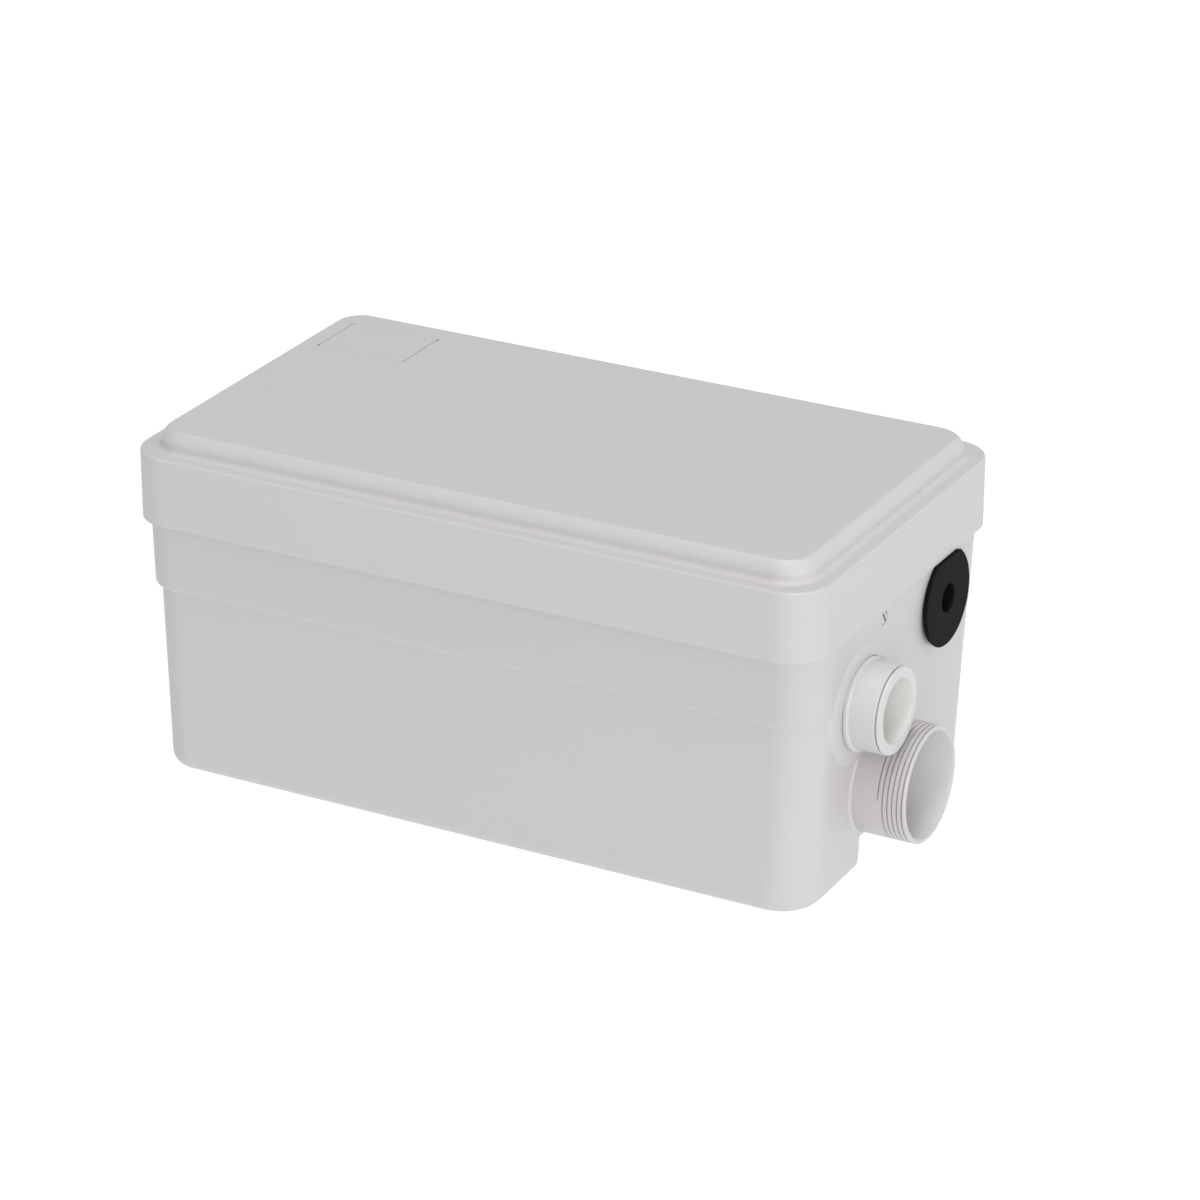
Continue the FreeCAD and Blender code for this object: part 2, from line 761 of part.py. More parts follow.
def make_lid():
    shell = new_body("LidShell")
    skirt = rounded_rectangle(shell, skirt_bottom, -half_length, half_length, half_width,
                              s.lid_corner, s.lid_corner)
    sides = pad(shell, skirt, lid_ledge - skirt_bottom)
    rounded = fillet(shell, sides, s.ledge_rounding, at_height(lid_ledge))
    rounded = fillet(shell, rounded, s.ledge_rounding, at_height(skirt_bottom))
    foot = rounded_rectangle(shell, lid_ledge, -half_length + s.top_inset, half_length - s.top_inset,
                             half_width - s.top_inset, s.top_corner, s.top_corner)
    top_inset = s.top_inset + s.top_lean
    top = rounded_rectangle(shell, lid_top, -half_length + top_inset, half_length - top_inset,
                            half_width - top_inset, s.top_corner - s.top_lean, s.top_corner - s.top_lean)
    raised = loft(shell, foot, top)
    rounded = fillet(shell, raised, top_rounding, at_height(lid_top))

    def at_foot(edge):
        box = edge.BoundBox
        inset = float(half_length) - max(abs(box.XMin), abs(box.XMax))
        return at_height(lid_ledge)(edge) and abs(inset - float(s.top_inset)) < float(s.top_inset) / 2
    fillet(shell, rounded, foot_rounding, tangent_chain(rounded, lid_ledge, at_foot))

    hollow = new_body("LidHollow")
    wall = s.lid_wall
    under = rounded_rectangle(hollow, skirt_bottom - wall, -half_length + wall, half_length - wall,
                              half_width - wall, s.lid_corner - wall, s.lid_corner - wall)
    pad(hollow, under, lid_ledge - skirt_bottom)
    inner = s.top_inset + wall
    corner = s.top_corner - wall
    foot = rounded_rectangle(hollow, lid_ledge - wall, -half_length + inner, half_length - inner,
                             half_width - inner, corner, corner)
    inner = inner + s.top_lean
    corner = corner - s.top_lean
    top = rounded_rectangle(hollow, lid_top - wall, -half_length + inner, half_length - inner,
                            half_width - inner, corner, corner)
    loft(hollow, foot, top)
    recess = centred_block(s.hatch_length, s.hatch_width, s.hatch_thickness * 2,
                           (hatch_x, hatch_y, lid_top - s.hatch_thickness))
    mouth = centred_block(s.hatch_length - s.hatch_seat * 2, s.hatch_width - s.hatch_seat * 2, wall * 2,
                          (hatch_x, hatch_y, lid_top - wall - s.fit_gap))
    cover = cut(shell, [hollow, recess, mouth])
    return fuse([cover, make_basket()] + [make_tongue(side, offset) for side, wall, offset in LOCKS])


def make_basket():
    """Open-topped basket under the vent recess, with slots in its floor."""
    length = s.hatch_length - s.hatch_seat * 2
    width = s.hatch_width - s.hatch_seat * 2
    top = lid_top - s.hatch_thickness - s.fit_gap
    bottom = lid_top - s.hatch_thickness - s.hatch_gap - s.filter_height - s.basket_wall
    spot = (hatch_x, hatch_y, bottom)
    outer = centred_block(length + s.basket_wall * 2, width + s.basket_wall * 2, top - bottom, spot)
    room = centred_block(length, width, top, (hatch_x, hatch_y, bottom + s.basket_wall))
    slots = []
    for number in range(BASKET_SLOTS):
        middle = hatch_x + (number - (BASKET_SLOTS - 1) / 2) * s.basket_slot * 2
        slots.append(centred_block(s.basket_slot, width - s.hatch_seat * 2, s.basket_wall * 2,
                                   (middle, hatch_y, bottom - s.fit_gap)))
    return cut(outer, [room] + slots)


def make_tongue(side, offset):
    """A fork under the lid that straddles a lock screw inside the tank."""
    outside = collar_half_length - s.tank_wall - s.lift_gap
    left = inner_end(side, side * outside, s.tongue_thickness)
    top = lid_ledge - s.lid_wall / 2
    arm = block(s.tongue_thickness, s.tongue_width, top - tongue_bottom,
                (left, offset - s.tongue_width / 2, tongue_bottom))
    slot_half = s.lock_shank + s.lift_gap
    slot_height = lock_height + slot_half - tongue_bottom
    slot = block(s.tongue_thickness * 3, slot_half * 2, slot_height + s.fit_gap,
                 (left - s.tongue_thickness, offset - slot_half, tongue_bottom - s.fit_gap))
    return cut(arm, [slot])


node(make_lid(), "lid")


# Vent cover: a flush plate in the lid's recess

def make_vent_cover():
    gap = s.hatch_gap
    plate = centred_block(s.hatch_length - gap * 2, s.hatch_width - gap * 2, s.hatch_thickness,
                          (hatch_x, hatch_y, lid_top - s.hatch_thickness))
    seat = s.hatch_seat * 2 + gap * 2
    plug = centred_block(s.hatch_length - seat, s.hatch_width - seat, s.hatch_thickness,
                         (hatch_x, hatch_y, lid_top - s.hatch_thickness * 2 + s.fit_gap))
    rim = s.basket_wall * 2
    room = centred_block(s.hatch_length - seat - rim, s.hatch_width - seat - rim, s.hatch_thickness,
                         (hatch_x, hatch_y, lid_top - s.hatch_thickness * 2))
    return cut(fuse([plate, plug]), [room])


node(make_vent_cover(), "vent_cover")


# Carbon filter: a block in the lid's basket

def make_filter():
    length = s.hatch_length - s.hatch_seat * 2 - s.hatch_gap * 2
    width = s.hatch_width - s.hatch_seat * 2 - s.hatch_gap * 2
    bottom = lid_top - s.hatch_thickness - s.hatch_gap - s.filter_height
    return centred_block(length, width, s.filter_height - s.hatch_thickness - s.hatch_gap,
                         (hatch_x, hatch_y, bottom))


node(make_filter(), "carbon_filter")


# Lid screws and their nuts, one at each end

def make_lid_screws():
    screws = []
    for side, wall, offset in LOCKS:
        head = lock_rod(side, s.lock_head, s.lock_recess, wall, offset)
        shank = lock_rod(side, s.lock_shank, s.lock_length, wall, offset)
        slit = block(s.lock_recess, s.lock_slit, s.lock_head * 2,
                     (wall - s.lock_recess / 2, offset - s.lock_slit / 2, lock_height - s.lock_head))
        screws.append(cut(fuse([head, shank]), [slit]))
    return group(screws)


node(make_lid_screws(), "lid_screws")


def make_lock_nuts():
    """Six-sided nuts behind the lid's forked tongues."""
    nuts = []
    for side, wall, offset in LOCKS:
        face = side * (collar_half_length - s.tank_wall - s.lift_gap * 2 - s.tongue_thickness)
        spot = (inner_end(side, face, s.lock_nut_height), offset, lock_height)
        outer = prism(s.lock_nut, s.lock_nut_height, spot, X_AXIS)
        nuts.append(cut(outer, [cylinder(s.lock_shank, s.lock_nut_height, spot, X_AXIS)]))
    return group(nuts)


node(make_lock_nuts(), "lid_screw_nuts")


# Cable grommet: a grooved rubber disc, flat where the lid's skirt meets it

def make_grommet():
    flange = s.grommet_flange
    outer_face = half_length - s.end_gap
    lean = s.grommet_radius * s.end_slope
    start = grommet_wall - lean - s.tank_wall - flange - s.fit_gap
    spot = (start, s.grommet_offset, grommet_height)
    length = outer_face + flange - start
    front = cylinder(s.grommet_radius, flange, (outer_face, s.grommet_offset, grommet_height), X_AXIS)
    back = cylinder(s.grommet_radius, flange, spot, X_AXIS)
    core = cylinder(s.grommet_groove - s.fit_gap, length, spot, X_AXIS)
    corner = (start, s.grommet_offset - s.grommet_radius, skirt_bottom - s.lift_gap)
    flat = block(length, s.grommet_radius * 2, s.grommet_radius, corner)
    inner_corner = (start, s.grommet_offset - s.grommet_radius, skirt_bottom - s.tank_wall - s.lift_gap)
    inner_flat = block(flange, s.grommet_radius * 2, s.grommet_radius, inner_corner)
    hole = cylinder(s.grommet_hole, length, spot, X_AXIS)
    return cut(fuse([front, cut(back, [inner_flat]), core]), [flat, hole])


node(make_grommet(), "cable_grommet")


# Outlet: spigot through the wall, its ring nut and sealing washer

def make_spigot():
    inner_end = valve_start + s.valve_length + s.fit_gap
    start = (inner_end, -outlet_offset, outlet_height)
    tube_length = outlet_end - inner_end
    barrel = cylinder(s.outlet_radius, tube_length, start, X_AXIS)
    face = pad_face + s.fit_gap
    collar = cylinder(s.collar_radius, s.collar_length, (face, -outlet_offset, outlet_height), X_AXIS)
    ring_start = face + s.collar_length + s.outlet_groove
    lip = cylinder(s.outlet_ring, outlet_end - ring_start,
                   (ring_start, -outlet_offset, outlet_height), X_AXIS)
    neck = cylinder(s.outlet_ring - s.outlet_groove, outlet_end - face,
                    (face, -outlet_offset, outlet_height), X_AXIS)
    bore = cylinder(s.outlet_bore, tube_length, start, X_AXIS)
    return cut(fuse([barrel, collar, lip, neck]), [bore])


node(make_spigot(), "discharge_spigot")


def make_spigot_nut():
    """A slim ring nut with two slots for its spanner."""
    left = nut_face - s.nut_thickness
    barrel = tube(s.nut_radius, s.outlet_radius, s.nut_thickness, (left, *outlet_axis), X_AXIS)
    slots = [centred_block(s.nut_thickness, s.nut_slot * 2, s.nut_slot * 2,
                           (left, -outlet_offset, outlet_height + side * s.nut_radius - s.nut_slot))
             for side in (-1, 1)]
    return cut(barrel, slots)


node(make_spigot_nut(), "spigot_nut")
node(tube(s.nut_radius, s.outlet_radius, s.washer_thickness, (nut_face, *outlet_axis), X_AXIS), "spigot_seal")


# Check valve: body with its seat and socket, flap and pin

def make_pin(middle, axis, pin_height, length):
    offset, height = axis
    return cylinder(s.flap_pin_radius, length, (middle, offset - length / 2, height + pin_height), Y_AXIS)


def make_valve_pin():
    """The outlet flap's pin, held in the chamber's two walls."""
    return make_pin(knuckle_place(valve_flap_face, 1), outlet_axis, s.valve_pin_height, s.valve_pin_length)


def make_valve_body():
    stub_start = valve_start - s.hose_grip
    stub = cylinder(s.casing_pipe, s.hose_grip + s.valve_wall, (stub_start, *outlet_axis), X_AXIS)
    chamber = cylinder(s.valve_radius, s.valve_length, (valve_start, *outlet_axis), X_AXIS)
    socket = cylinder(s.socket_radius, s.socket_length, (valve_end, *outlet_axis), X_AXIS)
    room = cylinder(s.valve_radius - s.valve_wall, valve_end - s.valve_wall - valve_room,
                    (valve_room, *outlet_axis), X_AXIS)
    inlet = cylinder(s.valve_seat_bore, valve_room + s.fit_gap - stub_start,
                     (stub_start, *outlet_axis), X_AXIS)
    outlet = cylinder(s.outlet_bore, s.valve_wall * 2,
                      (valve_end - s.valve_wall * 3 / 2, *outlet_axis), X_AXIS)
    bell = cylinder(s.outlet_radius + s.fit_gap, s.socket_length, (valve_end, *outlet_axis), X_AXIS)
    return cut(fuse([stub, chamber, socket]), [room, inlet, outlet, bell, make_valve_pin()])


def knuckle_place(face, direction):
    """The pin's place, so that the knuckle ends flush with the flap's sealing face."""
    return face + direction * s.knuckle_radius


def make_flap(radius, thickness, pin_height, face, axis, direction):
    """A round flap that hangs from a knuckle on its pin, its sealing face at the given place."""
    offset, height = axis
    left = face if direction > 0 else face - thickness
    disc = cylinder(radius, thickness, (left, offset, height), X_AXIS)
    knuckle_middle = knuckle_place(face, direction)
    side = offset - s.knuckle_width / 2
    knuckle = cylinder(s.knuckle_radius, s.knuckle_width, (knuckle_middle, side, height + pin_height), Y_AXIS)
    neck = block(thickness, s.knuckle_width, pin_height, (left, side, height))
    hole = cylinder(s.flap_pin_radius + s.pin_gap, s.knuckle_width,
                    (knuckle_middle, side, height + pin_height), Y_AXIS)
    return cut(fuse([disc, knuckle, neck]), [hole])


node(make_valve_body(), "check_valve_body")
node(make_flap(s.valve_flap_radius, s.flap_thickness, s.valve_pin_height, valve_flap_face, outlet_axis, 1),
     "check_valve_flap")
node(make_valve_pin(), "check_valve_pin")


# Inlet flap: ring in the pipe's bore with two ears, flap and pin

inlet_flap_face = flap_ring_back - s.flap_gap


def make_flap_ring():
    length = flap_ring_front - flap_ring_back
    spot = (flap_ring_back, *inlet_axis)
    barrel = tube(flap_seat - s.fit_gap, flap_ring_bore, length, spot, X_AXIS)
    pin_x = knuckle_place(inlet_flap_face, -1)
    pin_z = inlet_height + flap_pin_height
    leg_bottom = inlet_height + flap_ring_bore
    ears = []
    for side in (1, -1):
        middle = -s.inlet_offset + side * (s.knuckle_width / 2 + s.flap_gap + s.tank_wall / 2)
        start = middle - s.tank_wall / 2
        eye = cylinder(s.knuckle_radius, s.tank_wall, (pin_x, start, pin_z), Y_AXIS)
        arm = block(flap_ring_back - pin_x + s.tank_wall / 2, s.tank_wall, s.knuckle_radius * 2,
                    (pin_x, start, pin_z - s.knuckle_radius))
        leg = block(s.tank_wall / 2, s.tank_wall, pin_z - leg_bottom, (flap_ring_back, start, leg_bottom))
        hole = cylinder(s.flap_pin_radius, s.tank_wall, (pin_x, start, pin_z), Y_AXIS)
        ears.append(cut(fuse([eye, arm, leg]), [hole]))
    return fuse([barrel] + ears)


node(make_flap_ring(), "inlet_flap_ring")
node(make_flap(flap_radius, s.flap_thickness, flap_pin_height, inlet_flap_face, inlet_axis, -1),
     "inlet_flap")
node(make_pin(knuckle_place(inlet_flap_face, -1), inlet_axis, flap_pin_height,
              s.knuckle_width + (s.flap_gap + s.tank_wall) * 2), "inlet_flap_pin")


# Pump stand: rubber feet, suction cover, casing, backplate and their screws

lug_spots = list(round_spots(4, lug_circle))


def at_pump(x, y, z):
    """A spot counted from the pump's upright axis."""
    return pump_x + x, Size(0) + y, z


def make_feet():
    return group([cylinder(s.foot_radius, s.feet_height, at_pump(x, y, s.tank_wall)) for x, y in lug_spots])


node(make_feet(), "rubber_feet")


def with_lugs(base, bottom, height):
    lugs = [cylinder(s.lug_radius, height, at_pump(x, y, bottom)) for x, y in lug_spots]
    return fuse([base] + lugs)


def spokes(count, length, width, height, start, bottom, lean=0.0):
    """Bars that run outwards from a circle round the pump's axis, each turned on by the lean."""
    bars = []
    for number in range(count):
        degrees = 360.0 * number / count
        along = round(math.cos(math.radians(degrees)), 9)
        across = round(math.sin(math.radians(degrees)), 9)
        bar = doc.addObject("Part::Box", "Spoke")
        bind(bar, "Length", length)
        bind(bar, "Width", width)
        bind(bar, "Height", height)
        corner = at_pump(start * along + width / 2 * across, start * across - width / 2 * along, bottom)
        bars.append(place(bar, corner, FreeCAD.Rotation(FreeCAD.Vector(0, 0, 1), degrees + lean)))
    return bars


def lug_holes(bottom, height):
    return [cylinder(s.screw_radius + s.fit_gap, height, at_pump(x, y, bottom)) for x, y in lug_spots]


def make_suction_cover():
    disc = cylinder(casing_radius, s.cover_thickness, at_pump(0, 0, cover_bottom))
    mouth = cylinder(s.suction_radius, s.cover_thickness, at_pump(0, 0, cover_bottom))
    slots = [cylinder(s.slot_radius, s.cover_thickness, at_pump(x, y, cover_bottom))
             for x, y in round_spots(SUCTION_SLOTS, slot_circle)]
    plate = with_lugs(disc, cover_bottom, s.cover_thickness)
    return cut(plate, [mouth] + slots + lug_holes(cover_bottom, s.cover_thickness))


node(make_suction_cover(), "suction_cover")


def make_casing():
    """The round pump housing with its four lugs and the stub for the hose."""
    height = casing_top - casing_bottom
    wall = cylinder(casing_radius, height, at_pump(0, 0, casing_bottom))
    outlet = cylinder(s.casing_pipe, casing_pipe_end, (pump_x, -outlet_offset, pipe_axis), X_AXIS)
    room = cylinder(casing_bore, height, at_pump(0, 0, casing_bottom + s.casing_floor))
    mouth = cylinder(s.suction_radius, height, at_pump(0, 0, casing_bottom))
    bore = cylinder(s.valve_seat_bore, casing_pipe_end, (pump_x, -outlet_offset, pipe_axis), X_AXIS)
    body = with_lugs(fuse([wall, outlet]), casing_bottom, height)
    return cut(body, [room, mouth, bore] + lug_holes(casing_bottom, height))


node(make_casing(), "volute_casing")


def make_seal_plate():
    """The backplate that carries the fixed seal ring below and the lower bearing above."""
    plate = with_lugs(cylinder(plate_radius, s.plate_thickness, at_pump(0, 0, casing_top)),
                      casing_top, s.plate_thickness)
    boss = cylinder(s.bearing_outer + s.motor_wall, s.bearing_height + s.seal_height,
                    at_pump(0, 0, casing_top))
    seat = cylinder(s.seal_outer + s.fit_gap / 2, s.seal_height, at_pump(0, 0, casing_top))
    bearing = cylinder(s.bearing_outer + s.fit_gap / 2, s.bearing_height,
                       at_pump(0, 0, casing_top + s.seal_height))
    return cut(fuse([plate, boss]), [seat, bearing] + lug_holes(casing_top, s.plate_thickness))


node(make_seal_plate(), "seal_plate")


def make_screws(spots, top, length):
    """Cap screws pointing down, their heads standing on the given height."""
    screws = []
    for x, y in spots:
        head = cylinder(s.screw_head, s.screw_head_height, (x, y, top))
        shank = cylinder(s.screw_radius, length, (x, y, top - length))
        socket = prism(s.screw_radius, s.screw_head_height / 2, (x, y, top + s.screw_head_height / 2))
        screws.append(cut(fuse([head, shank]), [socket]))
    return group(screws)


node(make_screws([at_pump(x, y, 0)[:2] for x, y in lug_spots], plate_top, plate_top - cover_bottom),
     "casing_screws")


# Impeller, nut, mechanical seal and shaft

impeller_bottom = casing_bottom + s.casing_floor + s.impeller_gap
hub_top = impeller_bottom + s.vane_height + s.impeller_disc


def make_impeller():
    disc = cylinder(impeller_radius, s.impeller_disc, at_pump(0, 0, impeller_bottom + s.vane_height))
    hub = cylinder(s.hub_radius, s.vane_height + s.impeller_disc, at_pump(0, 0, impeller_bottom))
    length = impeller_radius - s.hub_radius
    vanes = spokes(VANES, length, s.impeller_disc, s.vane_height + s.impeller_disc / 2,
                   s.hub_radius - s.impeller_disc / 2, impeller_bottom, VANE_LEAN)
    bore = cylinder(s.shaft_radius, s.vane_height + s.impeller_disc, at_pump(0, 0, impeller_bottom))
    return cut(fuse([disc, hub] + vanes), [bore])


node(make_impeller(), "impeller")


def make_impeller_nut():
    spot = at_pump(0, 0, impeller_bottom - s.nut_height)
    return cut(prism(s.hub_radius - s.fit_gap, s.nut_height, spot),
               [cylinder(s.shaft_radius, s.nut_height, spot)])


node(make_impeller_nut(), "impeller_nut")


def make_seal_ring():
    height = casing_top - s.running_gap - hub_top
    return tube(s.seal_ring_outer, s.shaft_radius, height, at_pump(0, 0, hub_top))


node(make_seal_ring(), "seal_ring")
node(tube(s.seal_outer, s.shaft_radius + s.running_gap, s.seal_height - s.running_gap,
          at_pump(0, 0, casing_top)), "seal_seat")

bearing_bottom = casing_top + s.seal_height
cap_bottom = motor_top
top_bearing_bottom = cap_bottom - s.cap_boss_depth
shaft_step = bearing_bottom + s.bearing_height
rotor_bottom = plate_top + s.winding_height + s.plate_thickness
stator_bottom = rotor_bottom


def make_shaft():
    end = impeller_bottom - s.nut_height
    main = cylinder(s.shaft_radius, top_bearing_bottom - end, at_pump(0, 0, end))
    neck = cylinder(s.shaft_neck, s.top_bearing_height, at_pump(0, 0, top_bearing_bottom))
    shoulder = cylinder(s.shaft_radius + s.shoulder_rise, rotor_bottom - shaft_step,
                        at_pump(0, 0, shaft_step))
    return fuse([main, neck, shoulder])


node(make_shaft(), "shaft")


def make_bearing(name, outer, inner_outer, race, bore, height, bottom, balls):
    """Outer ring, inner ring and balls of one bearing, each a node of its own."""
    spot = at_pump(0, 0, bottom)
    node(tube(outer, outer - race, height, spot), name + "_outer")
    node(tube(inner_outer, bore, height, spot), name + "_inner")
    gap = outer - race - inner_outer - s.running_gap
    middle = inner_outer + gap / 2
    round_balls = [ball(gap / 2, at_pump(x, y, bottom + height / 2)) for x, y in round_spots(balls, middle)]
    node(group(round_balls), name + "_balls")


make_bearing("lower_bearing", s.bearing_outer, s.bearing_inner, s.bearing_race, s.shaft_radius,
             s.bearing_height, bearing_bottom, LOWER_BALLS)
make_bearing("upper_bearing", s.top_bearing_outer, s.top_bearing_inner, s.top_bearing_race, s.shaft_neck,
             s.top_bearing_height, top_bearing_bottom, UPPER_BALLS)


# Motor: can, stator core and windings, rotor core, cap with its seal and screws

ear_spots = list(round_spots(4, s.motor_radius + s.ear_radius / 2, 45))


def make_motor_can():
    """A plain can with four ears at its top for the cap's screws."""
    shell = cylinder(s.motor_radius, s.motor_height, at_pump(0, 0, plate_top))
    ears = [cylinder(s.ear_radius, s.ear_height, at_pump(x, y, motor_top - s.ear_height))
            for x, y in ear_spots]
    room = cylinder(s.motor_radius - s.motor_wall, s.motor_height, at_pump(0, 0, plate_top))
    holes = [cylinder(s.screw_radius, s.ear_height, at_pump(x, y, motor_top - s.cap_thickness))
             for x, y in ear_spots]
    return cut(fuse([shell] + ears), [room] + holes)


node(make_motor_can(), "motor_can")


def make_stator():
    core = tube(s.motor_radius - s.motor_wall, s.stator_bore, s.stator_height, at_pump(0, 0, stator_bottom))
    slots = spokes(STATOR_SLOTS, winding_outer - s.stator_bore, s.stator_slot, s.stator_height,
                   s.stator_bore - s.rotor_gap, stator_bottom)
    return cut(core, slots)


node(make_stator(), "stator_core")


def make_windings():
    """The two end turns of the copper windings, over and under the core."""
    rings = []
    for bottom in (stator_bottom - s.winding_height, stator_bottom + s.stator_height):
        rings.append(tube(winding_outer, winding_inner, s.winding_height, at_pump(0, 0, bottom)))
    return group(rings)


node(make_windings(), "stator_windings")
node(tube(s.stator_bore - s.rotor_gap, s.shaft_radius, s.stator_height, at_pump(0, 0, rotor_bottom)),
     "rotor_core")

seal_bottom = cap_bottom - s.cap_thickness / 2 - s.seal_cord / 2


def make_motor_cap():
    plate = cylinder(s.motor_radius, s.cap_thickness, at_pump(0, 0, cap_bottom))
    plug = cylinder(can_bore - s.fit_gap, s.cap_thickness, at_pump(0, 0, cap_bottom - s.cap_thickness))
    boss = cylinder(cap_boss, s.cap_boss_depth, at_pump(0, 0, cap_bottom - s.cap_boss_depth))
    groove = tube(s.motor_radius, can_bore - s.seal_cord, s.seal_cord, at_pump(0, 0, seal_bottom))
    seat = cylinder(s.top_bearing_outer + s.fit_gap / 2, s.top_bearing_height,
                    at_pump(0, 0, top_bearing_bottom))
    relief = cylinder(s.top_bearing_outer - s.top_bearing_race, s.top_bearing_height + s.running_gap,
                      at_pump(0, 0, top_bearing_bottom))
    ears = [cylinder(s.ear_radius, s.cap_thickness, at_pump(x, y, cap_bottom)) for x, y in ear_spots]
    holes = [cylinder(s.screw_radius, s.cap_thickness, at_pump(x, y, cap_bottom)) for x, y in ear_spots]
    return cut(fuse([plate, plug, boss] + ears), [groove, seat, relief] + holes)


node(make_motor_cap(), "motor_cap")


node(tube(can_bore, can_bore - s.seal_cord, s.seal_cord, at_pump(0, 0, seal_bottom)), "motor_cap_seal")
node(make_screws([at_pump(x, y, 0)[:2] for x, y in ear_spots], motor_top + s.cap_thickness,
                 s.cap_thickness * 2), "motor_cap_screws")


# Discharge hose from the casing up to the check valve, with a clamp at each end

hose_start = pump_x + casing_pipe_end - s.hose_grip
hose_end = valve_start - s.fit_gap
riser_place = hose_end - s.hose_grip - s.hose_bend


def make_hose():
    inner = s.casing_pipe.number + s.fit_gap.number / 2
    outer = inner + s.hose_wall.number
    y = -outlet_offset.number
    low = pipe_axis.number
    high = outlet_height.number
    bend = min(s.hose_bend.number, (high - low) / 2 - s.fit_gap.number)
    start = hose_start.number
    end = hose_end.number
    rise = riser_place.number

    def spot(x, z):
        return FreeCAD.Vector(x, y, z)

    half = bend * math.sin(math.radians(45))
    first = Part.Arc(spot(rise - bend, low), spot(rise - bend + half, low + bend - half),
                     spot(rise, low + bend))
    second = Part.Arc(spot(rise, high - bend), spot(rise + bend - half, high - bend + half),
                      spot(rise + bend, high))
    pieces = [
        Part.LineSegment(spot(start, low), spot(rise - bend, low)),
        first,
        Part.LineSegment(spot(rise, low + bend), spot(rise, high - bend)),
        second,
        Part.LineSegment(spot(rise + bend, high), spot(end, high)),
    ]
    path = Part.Wire([piece.toShape() for piece in pieces])
    skins = []
    for radius in (outer, inner):
        profile = Part.Wire([Part.makeCircle(radius, spot(start, low), FreeCAD.Vector(1, 0, 0))])
        skins.append(path.makePipeShell([profile], True, False))
    hose = doc.addObject("Part::Feature", "Hose")
    hose.Shape = skins[0].cut(skins[1])
    return hose


node(make_hose(), "discharge_hose")


def make_clamps():
    inner = s.casing_pipe + s.fit_gap / 2 + s.hose_wall
    clamps = []
    for start, height in ((hose_start + s.clamp_thickness, pipe_axis),
                          (hose_end - s.clamp_width - s.clamp_thickness, outlet_height)):
        spot = (start, -outlet_offset, height)
        band = tube(inner + s.clamp_thickness, inner, s.clamp_width, spot, X_AXIS)
        housing = block(s.clamp_width, s.clamp_width, s.clamp_width / 2,
                        (start, -outlet_offset - s.clamp_width / 2, height + inner + s.clamp_thickness / 2))
        clamps.append(fuse([band, housing]))
    return group(clamps)


node(make_clamps(), "hose_clamps")


# Level switch: air bell, membrane, clamp ring, plunger, microswitch and its button

membrane_bottom = tray_top + s.bell_wall
plunger_bottom = membrane_bottom + s.membrane_thickness
switch_bottom = plunger_bottom + s.plunger_height + s.plunger_travel + s.lift_gap


def switch_spot(height):
    return switch_x, switch_y, height


def make_bell():
    barrel = cylinder(s.bell_radius, membrane_bottom - s.bell_bottom, switch_spot(s.bell_bottom))
    flange = cylinder(s.membrane_radius, s.bell_wall, switch_spot(tray_top))
    room = cylinder(s.bell_radius - s.bell_wall, membrane_bottom - s.bell_bottom, switch_spot(s.bell_bottom))
    return cut(fuse([barrel, flange]), [room])


node(make_bell(), "air_bell")
node(cylinder(s.membrane_radius, s.membrane_thickness, switch_spot(membrane_bottom)), "switch_diaphragm")


def make_clamp_ring():
    """Holds the membrane's rim and carries the microswitch on two pillars."""
    bore = s.membrane_radius - s.bell_wall * 3 / 2
    rim = tube(s.membrane_radius, bore, s.bell_wall, switch_spot(plunger_bottom))
    pillars = []
    for side in (1, -1):
        left = switch_x + side * (s.membrane_radius - s.bell_wall) - s.bell_wall
        pillars.append(block(s.bell_wall * 2, s.bell_wall * 2, switch_bottom - plunger_bottom,
                             (left, switch_y - s.bell_wall, plunger_bottom)))
    return fuse([rim] + pillars)


node(make_clamp_ring(), "diaphragm_ring")
node(cylinder(s.plunger_radius, s.plunger_height, switch_spot(plunger_bottom + s.fit_gap)), "switch_plunger")


def make_switch():
    """The microswitch, bridging the two pillars."""
    bridge = block(s.membrane_radius * 2, s.switch_width, s.bell_wall,
                   (switch_x - s.membrane_radius, switch_y - s.switch_width / 2, switch_bottom))
    case = centred_block(s.switch_length, s.switch_width, s.switch_height, switch_spot(switch_bottom))
    hole = cylinder(s.button_radius + s.flap_gap, s.switch_height / 2, switch_spot(switch_bottom))
    tabs = [centred_block(s.bell_wall, s.bell_wall / 2, s.bell_wall * 3,
                          (switch_x + side * s.switch_length / 3, switch_y,
                           switch_bottom + s.switch_height))
            for side in (-1, 0, 1)]
    return cut(fuse([bridge, case] + tabs), [hole])


node(make_switch(), "microswitch_body")


def make_button():
    top = switch_bottom + s.switch_height / 2 - s.plunger_travel - s.flap_gap
    bottom = plunger_bottom + s.fit_gap + s.plunger_height + s.flap_gap
    return cylinder(s.button_radius, top - bottom, switch_spot(bottom))


node(make_button(), "microswitch_button")


# Electrics: tray with its screws, capacitor and clip, terminal block

def make_tray():
    """A shallow tray with a raised edge, the bell's hole and four screw holes."""
    edge = s.tray_thickness
    rim = block(tray_length, tray_width, edge * 3, (tray_left, tray_front, tray_bottom))
    room = block(tray_length - edge * 2, tray_width - edge * 2, edge * 3,
                 (tray_left + edge, tray_front + edge, tray_bottom + edge))
    holes = [cylinder(s.screw_radius + s.fit_gap, edge * 2, (x, y, tray_bottom - edge / 2))
             for x, y in post_spots()]
    opening = cylinder(s.bell_radius + s.fit_gap, edge * 2, switch_spot(tray_bottom - edge / 2))
    return cut(rim, [room, opening] + holes)


node(make_tray(), "electrics_tray")
node(make_screws(list(post_spots()), tray_top, s.tray_screw_length), "tray_screws")

